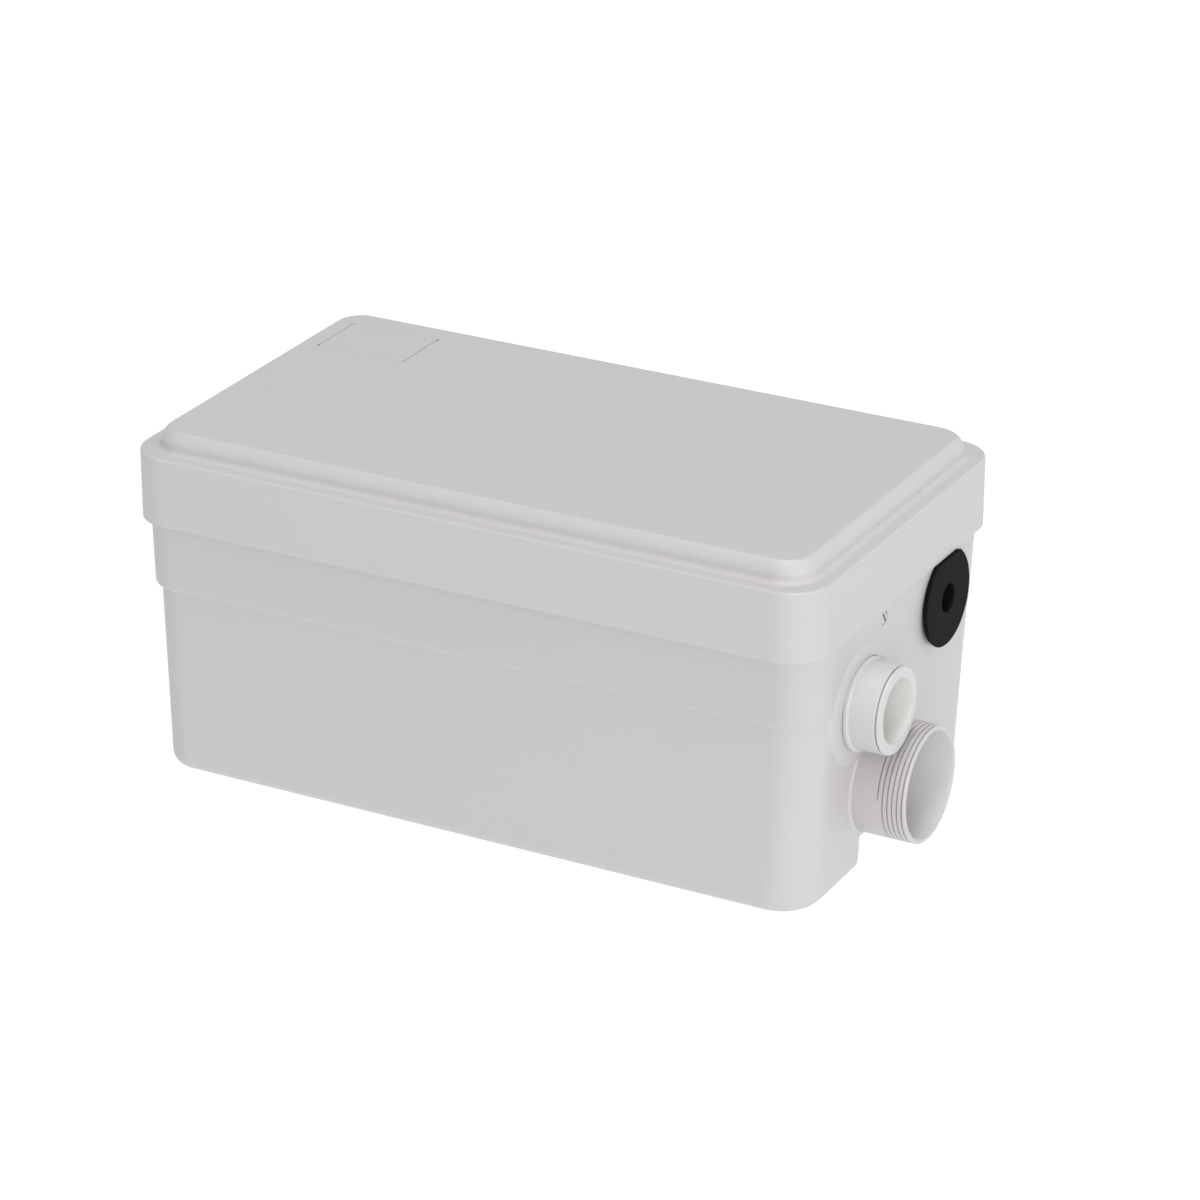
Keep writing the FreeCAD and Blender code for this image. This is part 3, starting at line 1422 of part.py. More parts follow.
capacitor_spot = (tray_left + capacitor_start,
                  tray_front + s.tray_thickness + s.clip_thickness + s.capacitor_radius,
                  tray_top + s.clip_thickness + s.capacitor_radius)


def make_capacitor():
    x, y, z = capacitor_spot
    can = cylinder(s.capacitor_radius, s.capacitor_length, capacitor_spot, X_AXIS)
    pins = [block(s.clip_width / 2, s.clip_thickness, s.clip_thickness * 3,
                  (x + s.capacitor_length, y + side * s.capacitor_radius / 3, z - s.clip_thickness))
            for side in (-1, 1)]
    return fuse([can] + pins)


node(make_capacitor(), "capacitor")


def make_clip():
    x, y, z = capacitor_spot
    left = x + s.capacitor_length / 2 - s.clip_width / 2
    spot = (left, y, z)
    hoop = tube(s.capacitor_radius + s.clip_thickness, s.capacitor_radius, s.clip_width, spot, X_AXIS)
    mouth = block(s.clip_width, s.capacitor_radius, s.capacitor_radius * 2,
                  (left, y - s.capacitor_radius / 2, z + s.capacitor_radius / 2))
    foot = block(s.clip_width, s.capacitor_radius * 2, s.clip_thickness,
                 (left, y - s.capacitor_radius, tray_top))
    return cut(fuse([hoop, foot]), [mouth, cylinder(s.capacitor_radius, s.clip_width, spot, X_AXIS)])


node(make_clip(), "capacitor_clip")


def make_terminal():
    x = capacitor_spot[0]
    y = tray_front + tray_width - s.tray_thickness - s.head_gap - s.terminal_width / 2
    spot = (x, y - s.terminal_width / 2, tray_top)
    body = block(s.terminal_length, s.terminal_width, s.terminal_height, spot)
    depth = s.terminal_height / 2
    ways = [cylinder(s.screw_radius, depth,
                     (x + s.terminal_length / 2, y + way * s.terminal_width / 4, tray_top + depth))
            for way in (-1, 0, 1)]
    return cut(body, ways)


node(make_terminal(), "terminal_block")


# Check and write every piece

doc.recompute()
for thing in doc.Objects:
    if "Invalid" in thing.State or "Error" in thing.State:
        raise RuntimeError("object failed: " + thing.Name)
os.makedirs("parts", exist_ok=True)
for thing in NODES:
    shape = thing.Shape
    if shape.isNull() or not shape.isValid():
        raise RuntimeError("bad shape: " + thing.Label)
    print("%-22s solids %d volume %.1f" % (thing.Label, len(shape.Solids), shape.Volume))
    shape.exportStep("parts/%s.step" % thing.Label)
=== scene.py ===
import json
import math

import bmesh
import bpy
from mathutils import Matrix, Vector


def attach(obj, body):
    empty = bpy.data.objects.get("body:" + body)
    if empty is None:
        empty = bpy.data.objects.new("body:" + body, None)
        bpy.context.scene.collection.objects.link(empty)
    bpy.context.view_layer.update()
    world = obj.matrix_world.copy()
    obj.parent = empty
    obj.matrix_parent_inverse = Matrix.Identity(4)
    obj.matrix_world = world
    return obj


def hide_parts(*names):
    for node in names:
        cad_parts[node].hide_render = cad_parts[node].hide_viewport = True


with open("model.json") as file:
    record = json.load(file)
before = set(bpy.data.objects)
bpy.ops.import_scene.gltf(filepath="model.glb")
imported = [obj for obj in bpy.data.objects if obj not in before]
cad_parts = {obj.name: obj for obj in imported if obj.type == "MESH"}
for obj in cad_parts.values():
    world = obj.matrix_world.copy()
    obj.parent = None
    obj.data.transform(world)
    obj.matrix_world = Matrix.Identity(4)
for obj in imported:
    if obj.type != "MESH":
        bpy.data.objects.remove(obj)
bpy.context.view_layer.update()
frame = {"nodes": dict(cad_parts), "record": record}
MM = 0.001


# View and light: the camera stands where the photograph was taken, in a dim white room with three
# broad soft lamps, one low beside the camera, one low on the right and one overhead.

bpy.ops.object.select_all(action="DESELECT")
bpy.context.scene.view_settings.view_transform = "Standard"
CAMERA_SPOT = Vector((846.47, -1541.02, 862.59)) * MM
CAMERA_AIM = Vector((16.943, 0.0, 78.613)) * MM
bpy.ops.object.camera_add(location=CAMERA_SPOT,
                          rotation=(CAMERA_AIM - CAMERA_SPOT).to_track_quat("-Z", "Y").to_euler())
camera = bpy.context.object
camera.data.sensor_fit = "HORIZONTAL"
camera.data.sensor_width = 36.0
camera.data.lens = 145.30
camera.data.clip_end = 50.0
bpy.context.scene.camera = camera

LAMP_DISTANCE, LAMP_SIZE = 4.0, 1.8
LAMPS = (("front", (0.45, -0.87, 0.20), 29.0), ("right", (0.92, -0.36, 0.12), 56.0),
         ("overhead", (0.08, -0.08, 0.99), 82.0))
for name, way, power in LAMPS:
    way = Vector(way).normalized()
    bpy.ops.object.light_add(type="AREA", location=CAMERA_AIM + way * LAMP_DISTANCE,
                             rotation=way.to_track_quat("Z", "Y").to_euler())
    lamp = bpy.context.object
    lamp.name = name + "_lamp"
    lamp.data.shape = "DISK"
    lamp.data.size = LAMP_SIZE
    lamp.data.energy = power


def linear(hex_colour):
    """The linear colour of an sRGB hex value."""
    parts = [int(hex_colour[i:i + 2], 16) / 255 for i in (1, 3, 5)]
    return [p / 12.92 if p <= 0.04045 else ((p + 0.055) / 1.055) ** 2.4 for p in parts] + [1.0]


def add(tree, kind, links=None, props=None, **settings):
    """Add a node, set its sockets by name and link others to what feeds them."""
    made = tree.nodes.new(kind)
    for name, value in (props or {}).items():
        setattr(made, name, value)
    for name, value in settings.items():
        made.inputs[name.replace("_", " ")].default_value = value
    for name, source in (links or {}).items():
        tree.links.new(source, made.inputs[name])
    return made


def new_material(name):
    """An empty node material and its tree."""
    made = bpy.data.materials.new(name)
    made.use_nodes = True
    made.node_tree.nodes.clear()
    return made, made.node_tree


ROOM_STRENGTH = 0.55
room = bpy.data.worlds.new("white_room")
room.use_nodes = True
room.node_tree.nodes["Background"].inputs["Color"].default_value = linear("#FFFFFF")
room.node_tree.nodes["Background"].inputs["Strength"].default_value = ROOM_STRENGTH
bpy.context.scene.world = room

# Floor: a white lit table, evenly bright, on which the object throws no shadow that shows.
bpy.ops.mesh.primitive_plane_add(size=24.0)
floor = bpy.context.object
floor.name = "floor"
floor_paint, tree = new_material("white_lit_table")
shader = add(tree, "ShaderNodeBsdfPrincipled", Base_Color=linear("#3C3C3C"), Roughness=1.0,
             Emission_Color=linear("#FFFFFF"), Emission_Strength=1.0)
add(tree, "ShaderNodeOutputMaterial", {"Surface": shader.outputs["BSDF"]})
floor.data.materials.append(floor_paint)


# Tank: one shell of pale grey-white ABS, injection moulded with leaning walls, a band round its top,
# a rim under the lid, a cut-away lower rear corner and the threaded inlet pipe.

TANK_WALL = 2.8
SLOPE, END_SLOPE = 0.016, 0.05
SKIRT_BOTTOM = 110.7
BAND_BOTTOM = 80.0
RIM_TOP = 133.7
BAND_LEFT, BODY_LEFT, END_WALL = -148.2, -145.8, 149.5
BAND_HALF, BODY_HALF = 77.3, 76.3
LEFT_CORNER, PORT_CORNER = 12.5, 17.5
COLLAR_LENGTH, COLLAR_HALF, COLLAR_CORNER = 146.5, 80.0, 13.0
FLOOR_ROUND, STEP_HEIGHT, RIM_STEP = 6.5, 2.4, 0.4
INLET = (-15.7, 39.5)
OUTLET = (-36.2, 78.2)
CABLE = (35.8, 94.0)
CORNER_STEPS = 16
CORNER_COUNT = 4 * (CORNER_STEPS + 1)
WELD = 0.002 * MM
SHARP_ANGLE = math.radians(32.0)


def pick(kind, wanted):
    """Select only the vertices, edges or faces of the edited mesh that a test accepts."""
    bpy.ops.mesh.select_mode(type=kind)
    bpy.ops.mesh.select_all(action="DESELECT")
    mesh = bmesh.from_edit_mesh(bpy.context.object.data)
    elements = {"VERT": mesh.verts, "EDGE": mesh.edges, "FACE": mesh.faces}[kind]
    elements.ensure_lookup_table()
    for element in elements:
        element.select = bool(wanted(element))
    mesh.select_flush_mode()
    bmesh.update_edit_mesh(bpy.context.object.data)


def only(piece):
    """Make one piece the selected and active object."""
    bpy.ops.object.select_all(action="DESELECT")
    piece.select_set(True)
    bpy.context.view_layer.objects.active = piece


def settle():
    """Write the selected object's place, turn and size into its mesh."""
    bpy.ops.object.transform_apply(location=True, rotation=True, scale=True)


def outline(height, left, right, half, left_corner, right_corner):
    """A loop of edges round a rounded rectangle, from a plane whose corners are bevelled."""
    middle = (left + right) / 2 * MM
    bpy.ops.mesh.primitive_plane_add(size=1.0, location=(middle, 0.0, height * MM))
    bpy.ops.transform.resize(value=((right - left) * MM, half * 2 * MM, 1.0))
    settle()
    bpy.ops.object.mode_set(mode="EDIT")
    for side, corner in ((-1, left_corner), (1, right_corner)):
        pick("VERT", lambda vert: (vert.co.x - middle) * side > 0)
        bpy.ops.mesh.bevel(affect="VERTICES", offset=corner * MM, segments=CORNER_STEPS)
    bpy.ops.mesh.select_all(action="SELECT")
    bpy.ops.mesh.delete(type="ONLY_FACE")
    bpy.ops.object.mode_set(mode="OBJECT")
    return bpy.context.object


def pick_newest(start):
    """Select the two newest outlines, as edges, and not the skin already between older ones."""
    def in_one(edge):
        first, second = (vert.index for vert in edge.verts)
        if min(first, second) < start:
            return False
        return (first - start) // CORNER_COUNT == (second - start) // CORNER_COUNT
    pick("EDGE", in_one)


def skin(name, outlines):
    """A solid skinned over rounded rectangles, bridged one to the next and closed at both ends."""
    whole = outline(*outlines[0])
    whole.name = name
    for step in outlines[1:]:
        following = outline(*step)
        only(whole)
        following.select_set(True)
        bpy.ops.object.join()
        bpy.ops.object.mode_set(mode="EDIT")
        total = len(whole.data.vertices)
        pick_newest(total - 2 * CORNER_COUNT)
        bpy.ops.mesh.bridge_edge_loops()
        bpy.ops.object.mode_set(mode="OBJECT")
    bpy.ops.object.mode_set(mode="EDIT")
    for start in (0, total - CORNER_COUNT):
        pick("VERT", lambda vert: start <= vert.index < start + CORNER_COUNT)
        bpy.ops.mesh.edge_face_add()
    bpy.ops.mesh.select_all(action="SELECT")
    bpy.ops.mesh.normals_make_consistent(inside=False)
    bpy.ops.object.mode_set(mode="OBJECT")
    return whole


def arc_steps(steps):
    """Fractions of a quarter circle as cosine and sine pairs, from 0 to 90 degrees."""
    for number in range(steps + 1):
        turn = math.pi / 2 * number / steps
        yield math.cos(turn), math.sin(turn)


def tank_level(height, left, half, inset=0.0):
    """The tank's outline at a height, its walls leaning inwards below the lid's skirt."""
    lean = (SKIRT_BOTTOM - height) * SLOPE + inset
    end_lean = (SKIRT_BOTTOM - height) * END_SLOPE + inset
    return (height, left + lean, END_WALL - end_lean, half - lean,
            LEFT_CORNER - inset, PORT_CORNER - inset)


def tank_outside():
    """The tank's outer outlines from the floor up to its rim."""
    levels = []
    for cosine, sine in arc_steps(8):
        inset = FLOOR_ROUND * (1 - sine)
        height = FLOOR_ROUND * (1 - cosine)
        levels.append(tank_level(height, BODY_LEFT, BODY_HALF, inset))
    for cosine, sine in arc_steps(6):
        left = BODY_LEFT + (BAND_LEFT - BODY_LEFT) * sine
        half = BODY_HALF + (BAND_HALF - BODY_HALF) * sine
        levels.append(tank_level(BAND_BOTTOM + STEP_HEIGHT * (1 - cosine), left, half))
    levels.append(tank_level(SKIRT_BOTTOM, BAND_LEFT, BAND_HALF))
    collar = (-COLLAR_LENGTH, COLLAR_LENGTH, COLLAR_HALF, COLLAR_CORNER, COLLAR_CORNER)
    levels.append((SKIRT_BOTTOM + RIM_STEP, *collar))
    levels.append((RIM_TOP, *collar))
    return levels


def tank_inside():
    """The outlines of the room inside the tank, from its floor up past its rim."""
    levels = []
    wall = TANK_WALL
    inner_round = FLOOR_ROUND - wall
    for cosine, sine in arc_steps(6):
        inset = inner_round * (1 - sine) + wall
        levels.append(tank_level(wall + inner_round * (1 - cosine), BODY_LEFT, BODY_HALF, inset))
    levels.append(tank_level(BAND_BOTTOM + wall, BODY_LEFT, BODY_HALF, wall))
    ends = (-COLLAR_LENGTH + wall, COLLAR_LENGTH - wall)
    throat = (*ends, BODY_HALF - wall, LEFT_CORNER - wall, PORT_CORNER - wall)
    opening = (*ends, COLLAR_HALF - wall, COLLAR_CORNER - wall, COLLAR_CORNER - wall)
    levels.append((BAND_BOTTOM + wall * 2, *throat))
    levels.append((SKIRT_BOTTOM + wall, *throat))
    levels.append((SKIRT_BOTTOM + wall + 0.05, *opening))
    levels.append((RIM_TOP + wall, *opening))
    return levels


def combine(target, tool, operation="DIFFERENCE"):
    """Cut a tool away from a piece, or join it, and drop the tool."""
    only(target)
    step = target.modifiers.new("combine", "BOOLEAN")
    step.operation = operation
    step.solver = "EXACT"
    step.object = tool
    bpy.ops.object.modifier_apply(modifier=step.name)
    bpy.data.objects.remove(tool)


def block(low, high):
    """A plain block between two corners in mm, for cutting and joining."""
    low, high = Vector(low), Vector(high)
    bpy.ops.mesh.primitive_cube_add(size=1.0, location=(low + high) / 2 * MM)
    bpy.ops.transform.resize(value=(high - low) * MM)
    settle()
    return bpy.context.object


def drawn(profile, centre):
    """A closed outline of (x, height) points in mm, drawn from one vertex and left in edit mode."""
    spots = [centre + Vector((x, 0.0, height)) * MM for x, height in profile]
    bpy.ops.mesh.primitive_plane_add(size=MM, location=spots[0])
    settle()
    bpy.ops.object.mode_set(mode="EDIT")
    bpy.ops.mesh.select_mode(type="VERT")
    bpy.ops.mesh.select_all(action="SELECT")
    bpy.ops.mesh.merge(type="CENTER")
    here = spots[0]
    for spot in spots[1:] + spots[:1]:
        bpy.ops.mesh.extrude_vertices_move(TRANSFORM_OT_translate={"value": spot - here})
        here = spot
    bpy.ops.mesh.select_all(action="SELECT")
    return bpy.context.object


def spun(name, profile, axis, steps=96):
    """A turned piece: a closed outline of (x, radius) points in mm, spun round an axis along X."""
    centre = Vector((0.0, axis[0], axis[1])) * MM
    piece = drawn(profile, centre)
    bpy.ops.mesh.spin(steps=steps, angle=math.tau, center=centre, axis=(1.0, 0.0, 0.0))
    bpy.ops.mesh.select_all(action="SELECT")
    bpy.ops.mesh.remove_doubles(threshold=WELD)
    bpy.ops.mesh.normals_make_consistent(inside=False)
    bpy.ops.object.mode_set(mode="OBJECT")
    piece.name = name
    return piece


def smooth(piece):
    """Shade smoothly but for sharp edges, with the broad faces kept flat."""
    only(piece)
    bpy.ops.object.shade_smooth_by_angle(angle=SHARP_ANGLE)
    step = piece.modifiers.new("flat faces", "WEIGHTED_NORMAL")
    step.keep_sharp = True
    step.weight = 80
    bpy.ops.object.modifier_apply(modifier=step.name)


def dress(piece, material, body, node):
    """Give a finished piece its material and its body, and hide the CAD node it stands for."""
    piece.data.materials.clear()
    piece.data.materials.append(material)
    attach(piece, body)
    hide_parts(node)


MOTTLE_SIZE, GLOSS_SPREAD = 40.0, 0.03


def moulded(name, colour, roughness, grain, relief, mottle=0.04, ior=1.5):
    """Moulded plastic: an even colour with a faint mottle and the fine grain of a spark-eroded mould."""
    made, tree = new_material(name)
    place = add(tree, "ShaderNodeTexCoord")
    cloud = add(tree, "ShaderNodeTexNoise", {"Vector": place.outputs["Object"]},
                Scale=1 / (MOTTLE_SIZE * MM), Detail=3.0, Roughness=0.5)
    base = linear(colour)
    darker = [channel * (1 - mottle) for channel in base[:3]] + [1.0]
    paint = add(tree, "ShaderNodeMix", {"Factor": cloud.outputs["Fac"]}, {"data_type": "RGBA"})
    paint.inputs[6].default_value = darker
    paint.inputs[7].default_value = base
    gloss = add(tree, "ShaderNodeMapRange", {"Value": cloud.outputs["Fac"]},
                To_Min=roughness - GLOSS_SPREAD, To_Max=roughness + GLOSS_SPREAD)
    skin_grain = add(tree, "ShaderNodeTexNoise", {"Vector": place.outputs["Object"]},
                     Scale=1 / (grain * MM), Detail=2.0, Roughness=0.6)
    bump = add(tree, "ShaderNodeBump", {"Height": skin_grain.outputs["Fac"]},
               Strength=relief, Distance=grain * MM * 0.2)
    shader = add(tree, "ShaderNodeBsdfPrincipled",
                 {"Base Color": paint.outputs[2], "Roughness": gloss.outputs["Result"],
                  "Normal": bump.outputs["Normal"]}, IOR=ior)
    add(tree, "ShaderNodeOutputMaterial", {"Surface": shader.outputs["BSDF"]})
    return made


# Pale ABS out of a finely eroded mould: satin, with a grain of about 0.35 mm.
shell_abs = moulded("satin_moulded_abs", "#BFBCBD", 0.45, 0.35, 0.07, 0.02)

tank = skin("moulded_tank", tank_outside())


def lean_with_wall(piece, spot):
    """Tip a piece about a spot in mm so that it stands square to the leaning end wall."""
    only(piece)
    bpy.ops.transform.rotate(value=-math.atan(END_SLOPE), orient_axis="Y",
                             center_override=Vector(spot) * MM)
    settle()


# What is joined to the end wall starts well inside it.
JOIN_START = 130.0

# The round pad behind the outlet, its flank falling softly into the wall and the corner, with a flat
# face for the outlet's collar.
PAD_FACE, PAD_RADIUS, SEAT_RADIUS = 149.4, 29.5, 18.8
flank = [(0.0, 19.5), (-0.1, 21.5), (-0.4, 23.0), (-1.0, 24.6), (-1.9, 26.2), (-3.0, 27.8),
         (-4.4, PAD_RADIUS)]
pad_profile = [(JOIN_START, 0.0), (PAD_FACE, 0.0)]
pad_profile += [(PAD_FACE + depth, radius) for depth, radius in flank]
pad_profile += [(JOIN_START, PAD_RADIUS)]
pad = spun("pad", pad_profile, OUTLET)
lean_with_wall(pad, (PAD_FACE, *OUTLET))
combine(tank, pad, "UNION")
seat_profile = [(JOIN_START, 0.0), (PAD_FACE, 0.0), (PAD_FACE, SEAT_RADIUS), (JOIN_START, SEAT_RADIUS)]
combine(tank, spun("seat", seat_profile, OUTLET), "UNION")

# The inlet pipe with a broken edge at its mouth, and a small fillet that leans with the wall at its root.
INLET_END, PIPE_RADIUS, PIPE_EDGE, PIPE_STEPS = 169.0, 23.4, 0.5, 128
neck = [(JOIN_START, 0.0), (INLET_END, 0.0), (INLET_END, PIPE_RADIUS - PIPE_EDGE),
        (INLET_END - PIPE_EDGE, PIPE_RADIUS), (JOIN_START, PIPE_RADIUS)]
combine(tank, spun("neck", neck, INLET, PIPE_STEPS), "UNION")
root = END_WALL - (SKIRT_BOTTOM - INLET[1]) * END_SLOPE
hollow = [(1.4, -0.1), (0.8, 0.1), (0.4, 0.35), (0.1, 0.8), (-0.1, 1.5), (-8.0, 1.5)]
fillet_profile = [(root - 8.0, 0.0), (root + 1.4, 0.0)]
fillet_profile += [(root + out, PIPE_RADIUS + rise) for out, rise in hollow]
fillet = spun("fillet", fillet_profile, INLET, PIPE_STEPS)
lean_with_wall(fillet, (root, *INLET))
combine(tank, fillet, "UNION")

# The cut-away corner and the room inside, whose wall follows the corner. Cutters reach past the piece.
NOTCH_X, NOTCH_Y, NOTCH_TOP, NOTCH_END = 123.07, -26.5, 16.5, 148.2
PAST_END, PAST_REAR, PAST_FLOOR = 190.0, 120.0, -5.0
combine(tank, block((NOTCH_X, NOTCH_Y, PAST_FLOOR), (NOTCH_END, PAST_REAR, NOTCH_TOP)))
cavity = skin("cavity", tank_inside())
combine(cavity, block((NOTCH_X - TANK_WALL, NOTCH_Y - TANK_WALL, PAST_FLOOR),
                      (PAST_END, PAST_REAR, NOTCH_TOP + TANK_WALL)))
combine(tank, cavity)


def bore(axis, radius, start, end=PAST_END):
    """A round cutter along X."""
    return spun("bore", [(start, 0.0), (start, radius), (end, radius), (end, 0.0)], axis)


# The pipe's bore widens a little behind the wall, where the flap's ring sits, and flares at its mouth.
INLET_BORE, RING_ROOM, FLARE = 21.3, 0.4, 0.6
mouth = [(136.0, 0.0), (136.0, INLET_BORE + RING_ROOM), (148.3, INLET_BORE + RING_ROOM),
         (148.3, INLET_BORE), (INLET_END - 0.5, INLET_BORE), (INLET_END + 0.1, INLET_BORE + FLARE),
         (PAST_END, INLET_BORE + FLARE), (PAST_END, 0.0)]
combine(tank, spun("mouth", mouth, INLET, PIPE_STEPS))
HOLE_START, OUTLET_HOLE, CABLE_HOLE = 139.0, 15.1, 16.0
combine(tank, bore(OUTLET, OUTLET_HOLE, HOLE_START))
combine(tank, bore(OUTLET, SEAT_RADIUS, PAD_FACE))
combine(tank, bore(CABLE, CABLE_HOLE, HOLE_START))

# Each end wall has a hole with a shallow recess for the lid's screw: which end, where the screw's face
# and the recess's floor stand along X, and how far the hole is off the middle.
LOCK_HEIGHT, LOCK_HOLE, LOCK_RECESS = 106.6, 2.0, 2.7
LOCKS = ((1, 149.3, 148.0, -18.6), (-1, 148.1, 146.7, 0.0))
for side, _, recess, offset in LOCKS:
    for depth, radius in ((JOIN_START, LOCK_HOLE), (recess, LOCK_RECESS)):
        start, end = sorted((side * depth, side * PAST_END))
        combine(tank, bore((offset, LOCK_HEIGHT), radius, start, end))


# The thread is one V groove that winds round the pipe. It starts on the front side, where it runs out of
# the plastic, and climbs over the top of the pipe towards the mouth.
THREAD_START, PITCH, TURNS, THREAD_STEPS = 157.6, 2.0, 5.3, 64
GROOVE_HALF, GROOVE_DEPTH, RUN_OUT = 0.4, 1.0, 1.2
groove = [(-GROOVE_HALF, 0.2), (0.0, -GROOVE_DEPTH), (GROOVE_HALF, 0.2)]
cutter = drawn(groove, Vector((THREAD_START, 0.0, PIPE_RADIUS)) * MM)
bpy.ops.mesh.remove_doubles(threshold=WELD)
bpy.ops.object.mode_set(mode="OBJECT")
turning = cutter.modifiers.new("turning", "SCREW")
turning.axis = "X"
turning.angle = -math.tau
turning.screw_offset = PITCH * MM
turning.iterations = math.ceil(TURNS)
turning.steps = THREAD_STEPS
turning.render_steps = THREAD_STEPS
bpy.ops.object.modifier_apply(modifier=turning.name)
bpy.ops.object.mode_set(mode="EDIT")
kept = round(TURNS * THREAD_STEPS) * len(groove)
pick("VERT", lambda vert: vert.index >= kept)
bpy.ops.mesh.delete(type="VERT")
pick("VERT", lambda vert: vert.index < len(groove))
bpy.ops.transform.translate(value=(0.0, 0.0, RUN_OUT * MM))
bpy.ops.mesh.select_all(action="SELECT")
bpy.ops.mesh.fill_holes(sides=0)
bpy.ops.mesh.normals_make_consistent(inside=False)
bpy.ops.transform.rotate(value=-math.pi / 2, orient_axis="X", center_override=(0.0, 0.0, 0.0))
bpy.ops.transform.translate(value=(0.0, INLET[0] * MM, INLET[1] * MM))
bpy.ops.object.mode_set(mode="OBJECT")
settle()
combine(tank, cutter)
smooth(tank)
dress(tank, shell_abs, "tank", "tank")

# A port's bore is told from other faces by its place past the tank's room.
BORE_START = 120.0


def paint_bore_paler(piece, material, axis, radius):
    """Give the wall of a port's bore a paler copy of its plastic: painted light that lifts the shade inside
    the bore.
    """
    def in_bore(face):
        spot = face.calc_center_median()
        way = Vector((0.0, spot.y - axis[0] * MM, spot.z - axis[1] * MM))
        return spot.x > BORE_START * MM and way.length < radius * MM and way.dot(face.normal) < 0
    only(piece)
    piece.data.materials.append(material)
    bpy.ops.object.mode_set(mode="EDIT")
    pick("FACE", in_bore)
    piece.active_material_index = len(piece.data.materials) - 1
    bpy.ops.object.material_slot_assign()
    bpy.ops.object.mode_set(mode="OBJECT")


# Where a polished steel core formed the pipe's bore, the plastic is smoother. Its colour is painted paler
# than the shell, as painted light that lifts the shade inside the bore.
pale_painted_bore_abs = moulded("abs_painted_paler_in_bore", "#E2E0E1", 0.3, 0.35, 0.03, 0.02)
paint_bore_paler(tank, pale_painted_bore_abs, INLET, INLET_BORE + 0.2)


# Lid: one moulded cover of the same ABS, with a raised top, a narrow ledge round it, and a skirt that
# slides over the tank's rim. Two forked tongues under it take the lid's screws.

LID_TOP, LEDGE = 148.0, 139.7
LID_LENGTH, LID_HALF, LID_CORNER = 150.0, 83.5, 16.5
LID_WALL = 3.0
CREASE_INSET, WALL_INSET = 10.4, 6.9
CREASE_CORNER, WALL_CORNER = 10.0, 13.5
CREASE_TURN, WALL_TURN = math.radians(60.0), math.radians(3.0)
CREASE_DROP, WALL_STEPS = 0.2, 10
FOOT_ROUND, LEDGE_ROUND, SKIRT_EDGE = 2.3, 1.0, 0.4


def lid_level(height, inset, corner=LID_CORNER):
    """The lid's outline at a height, drawn in from the skirt's face by an inset."""
    return (height, -LID_LENGTH + inset, LID_LENGTH - inset, LID_HALF - inset, corner, corner)


def lid_levels():
    """From the ceiling down the inside, round the skirt's lower edge, up and over the raised top."""
    ceiling = (CREASE_INSET, CREASE_CORNER)
    foot = (WALL_INSET + LID_WALL, WALL_CORNER - LID_WALL)
    inside = (LID_WALL, LID_CORNER - LID_WALL)
    levels = [lid_level(LID_TOP - LID_WALL, *ceiling), lid_level(LEDGE - LID_WALL, *foot),
              lid_level(LEDGE - LID_WALL - 0.05, *inside), lid_level(SKIRT_BOTTOM, *inside)]
    for cosine, sine in arc_steps(4):
        inset = SKIRT_EDGE * (1 - sine)
        levels.append(lid_level(SKIRT_BOTTOM + SKIRT_EDGE * (1 - cosine), inset, LID_CORNER - inset))
    for sine, cosine in arc_steps(5):
        inset = LEDGE_ROUND * (1 - sine)
        levels.append(lid_level(LEDGE - LEDGE_ROUND * (1 - cosine), inset, LID_CORNER - inset))
    for cosine, sine in arc_steps(7):
        inset = WALL_INSET - FOOT_ROUND * (1 - sine)
        corner = WALL_CORNER + WALL_INSET - inset
        levels.append(lid_level(LEDGE + FOOT_ROUND * (1.01 - cosine), inset, corner))
    radius = (CREASE_INSET - WALL_INSET) / (math.cos(WALL_TURN) - math.cos(CREASE_TURN))
    for number in range(WALL_STEPS + 1):
        turn = WALL_TURN + (CREASE_TURN - WALL_TURN) * number / WALL_STEPS
        inset = WALL_INSET + radius * (math.cos(WALL_TURN) - math.cos(turn))
        height = LID_TOP - CREASE_DROP - radius * (math.sin(CREASE_TURN) - math.sin(turn))
        share = (inset - WALL_INSET) / (CREASE_INSET - WALL_INSET)
        levels.append(lid_level(height, inset, WALL_CORNER + (CREASE_CORNER - WALL_CORNER) * share))
    levels.append(lid_level(LID_TOP, CREASE_INSET + CREASE_DROP * 2, CREASE_CORNER - CREASE_DROP * 2))
    return levels


lid = skin("moulded_lid", lid_levels())
HATCH = (-112.0, 47.7)
HATCH_LENGTH, HATCH_WIDTH, HATCH_DEPTH = 40.2, 28.4, 1.6
MOUTH_LENGTH, MOUTH_WIDTH = 34.6, 26.2
BASKET_BOTTOM, BASKET_FLOOR, BASKET_WALLS = 135.6, 137.1, 3.0


def hatch_block(length, width, low, high):
    """A block centred on the vent's place."""
    x, y = HATCH
    return block((x - length / 2, y - width / 2, low), (x + length / 2, y + width / 2, high))


# Under the hatch hangs the filter's basket, with a grille of slots in its floor.
basket = hatch_block(MOUTH_LENGTH + BASKET_WALLS, MOUTH_WIDTH + BASKET_WALLS, BASKET_BOTTOM, LID_TOP - 2.0)
combine(lid, basket, "UNION")
combine(lid, hatch_block(HATCH_LENGTH, HATCH_WIDTH, LID_TOP - HATCH_DEPTH, LID_TOP + 5.0))
combine(lid, hatch_block(MOUTH_LENGTH, MOUTH_WIDTH, BASKET_FLOOR, LID_TOP + 5.0))

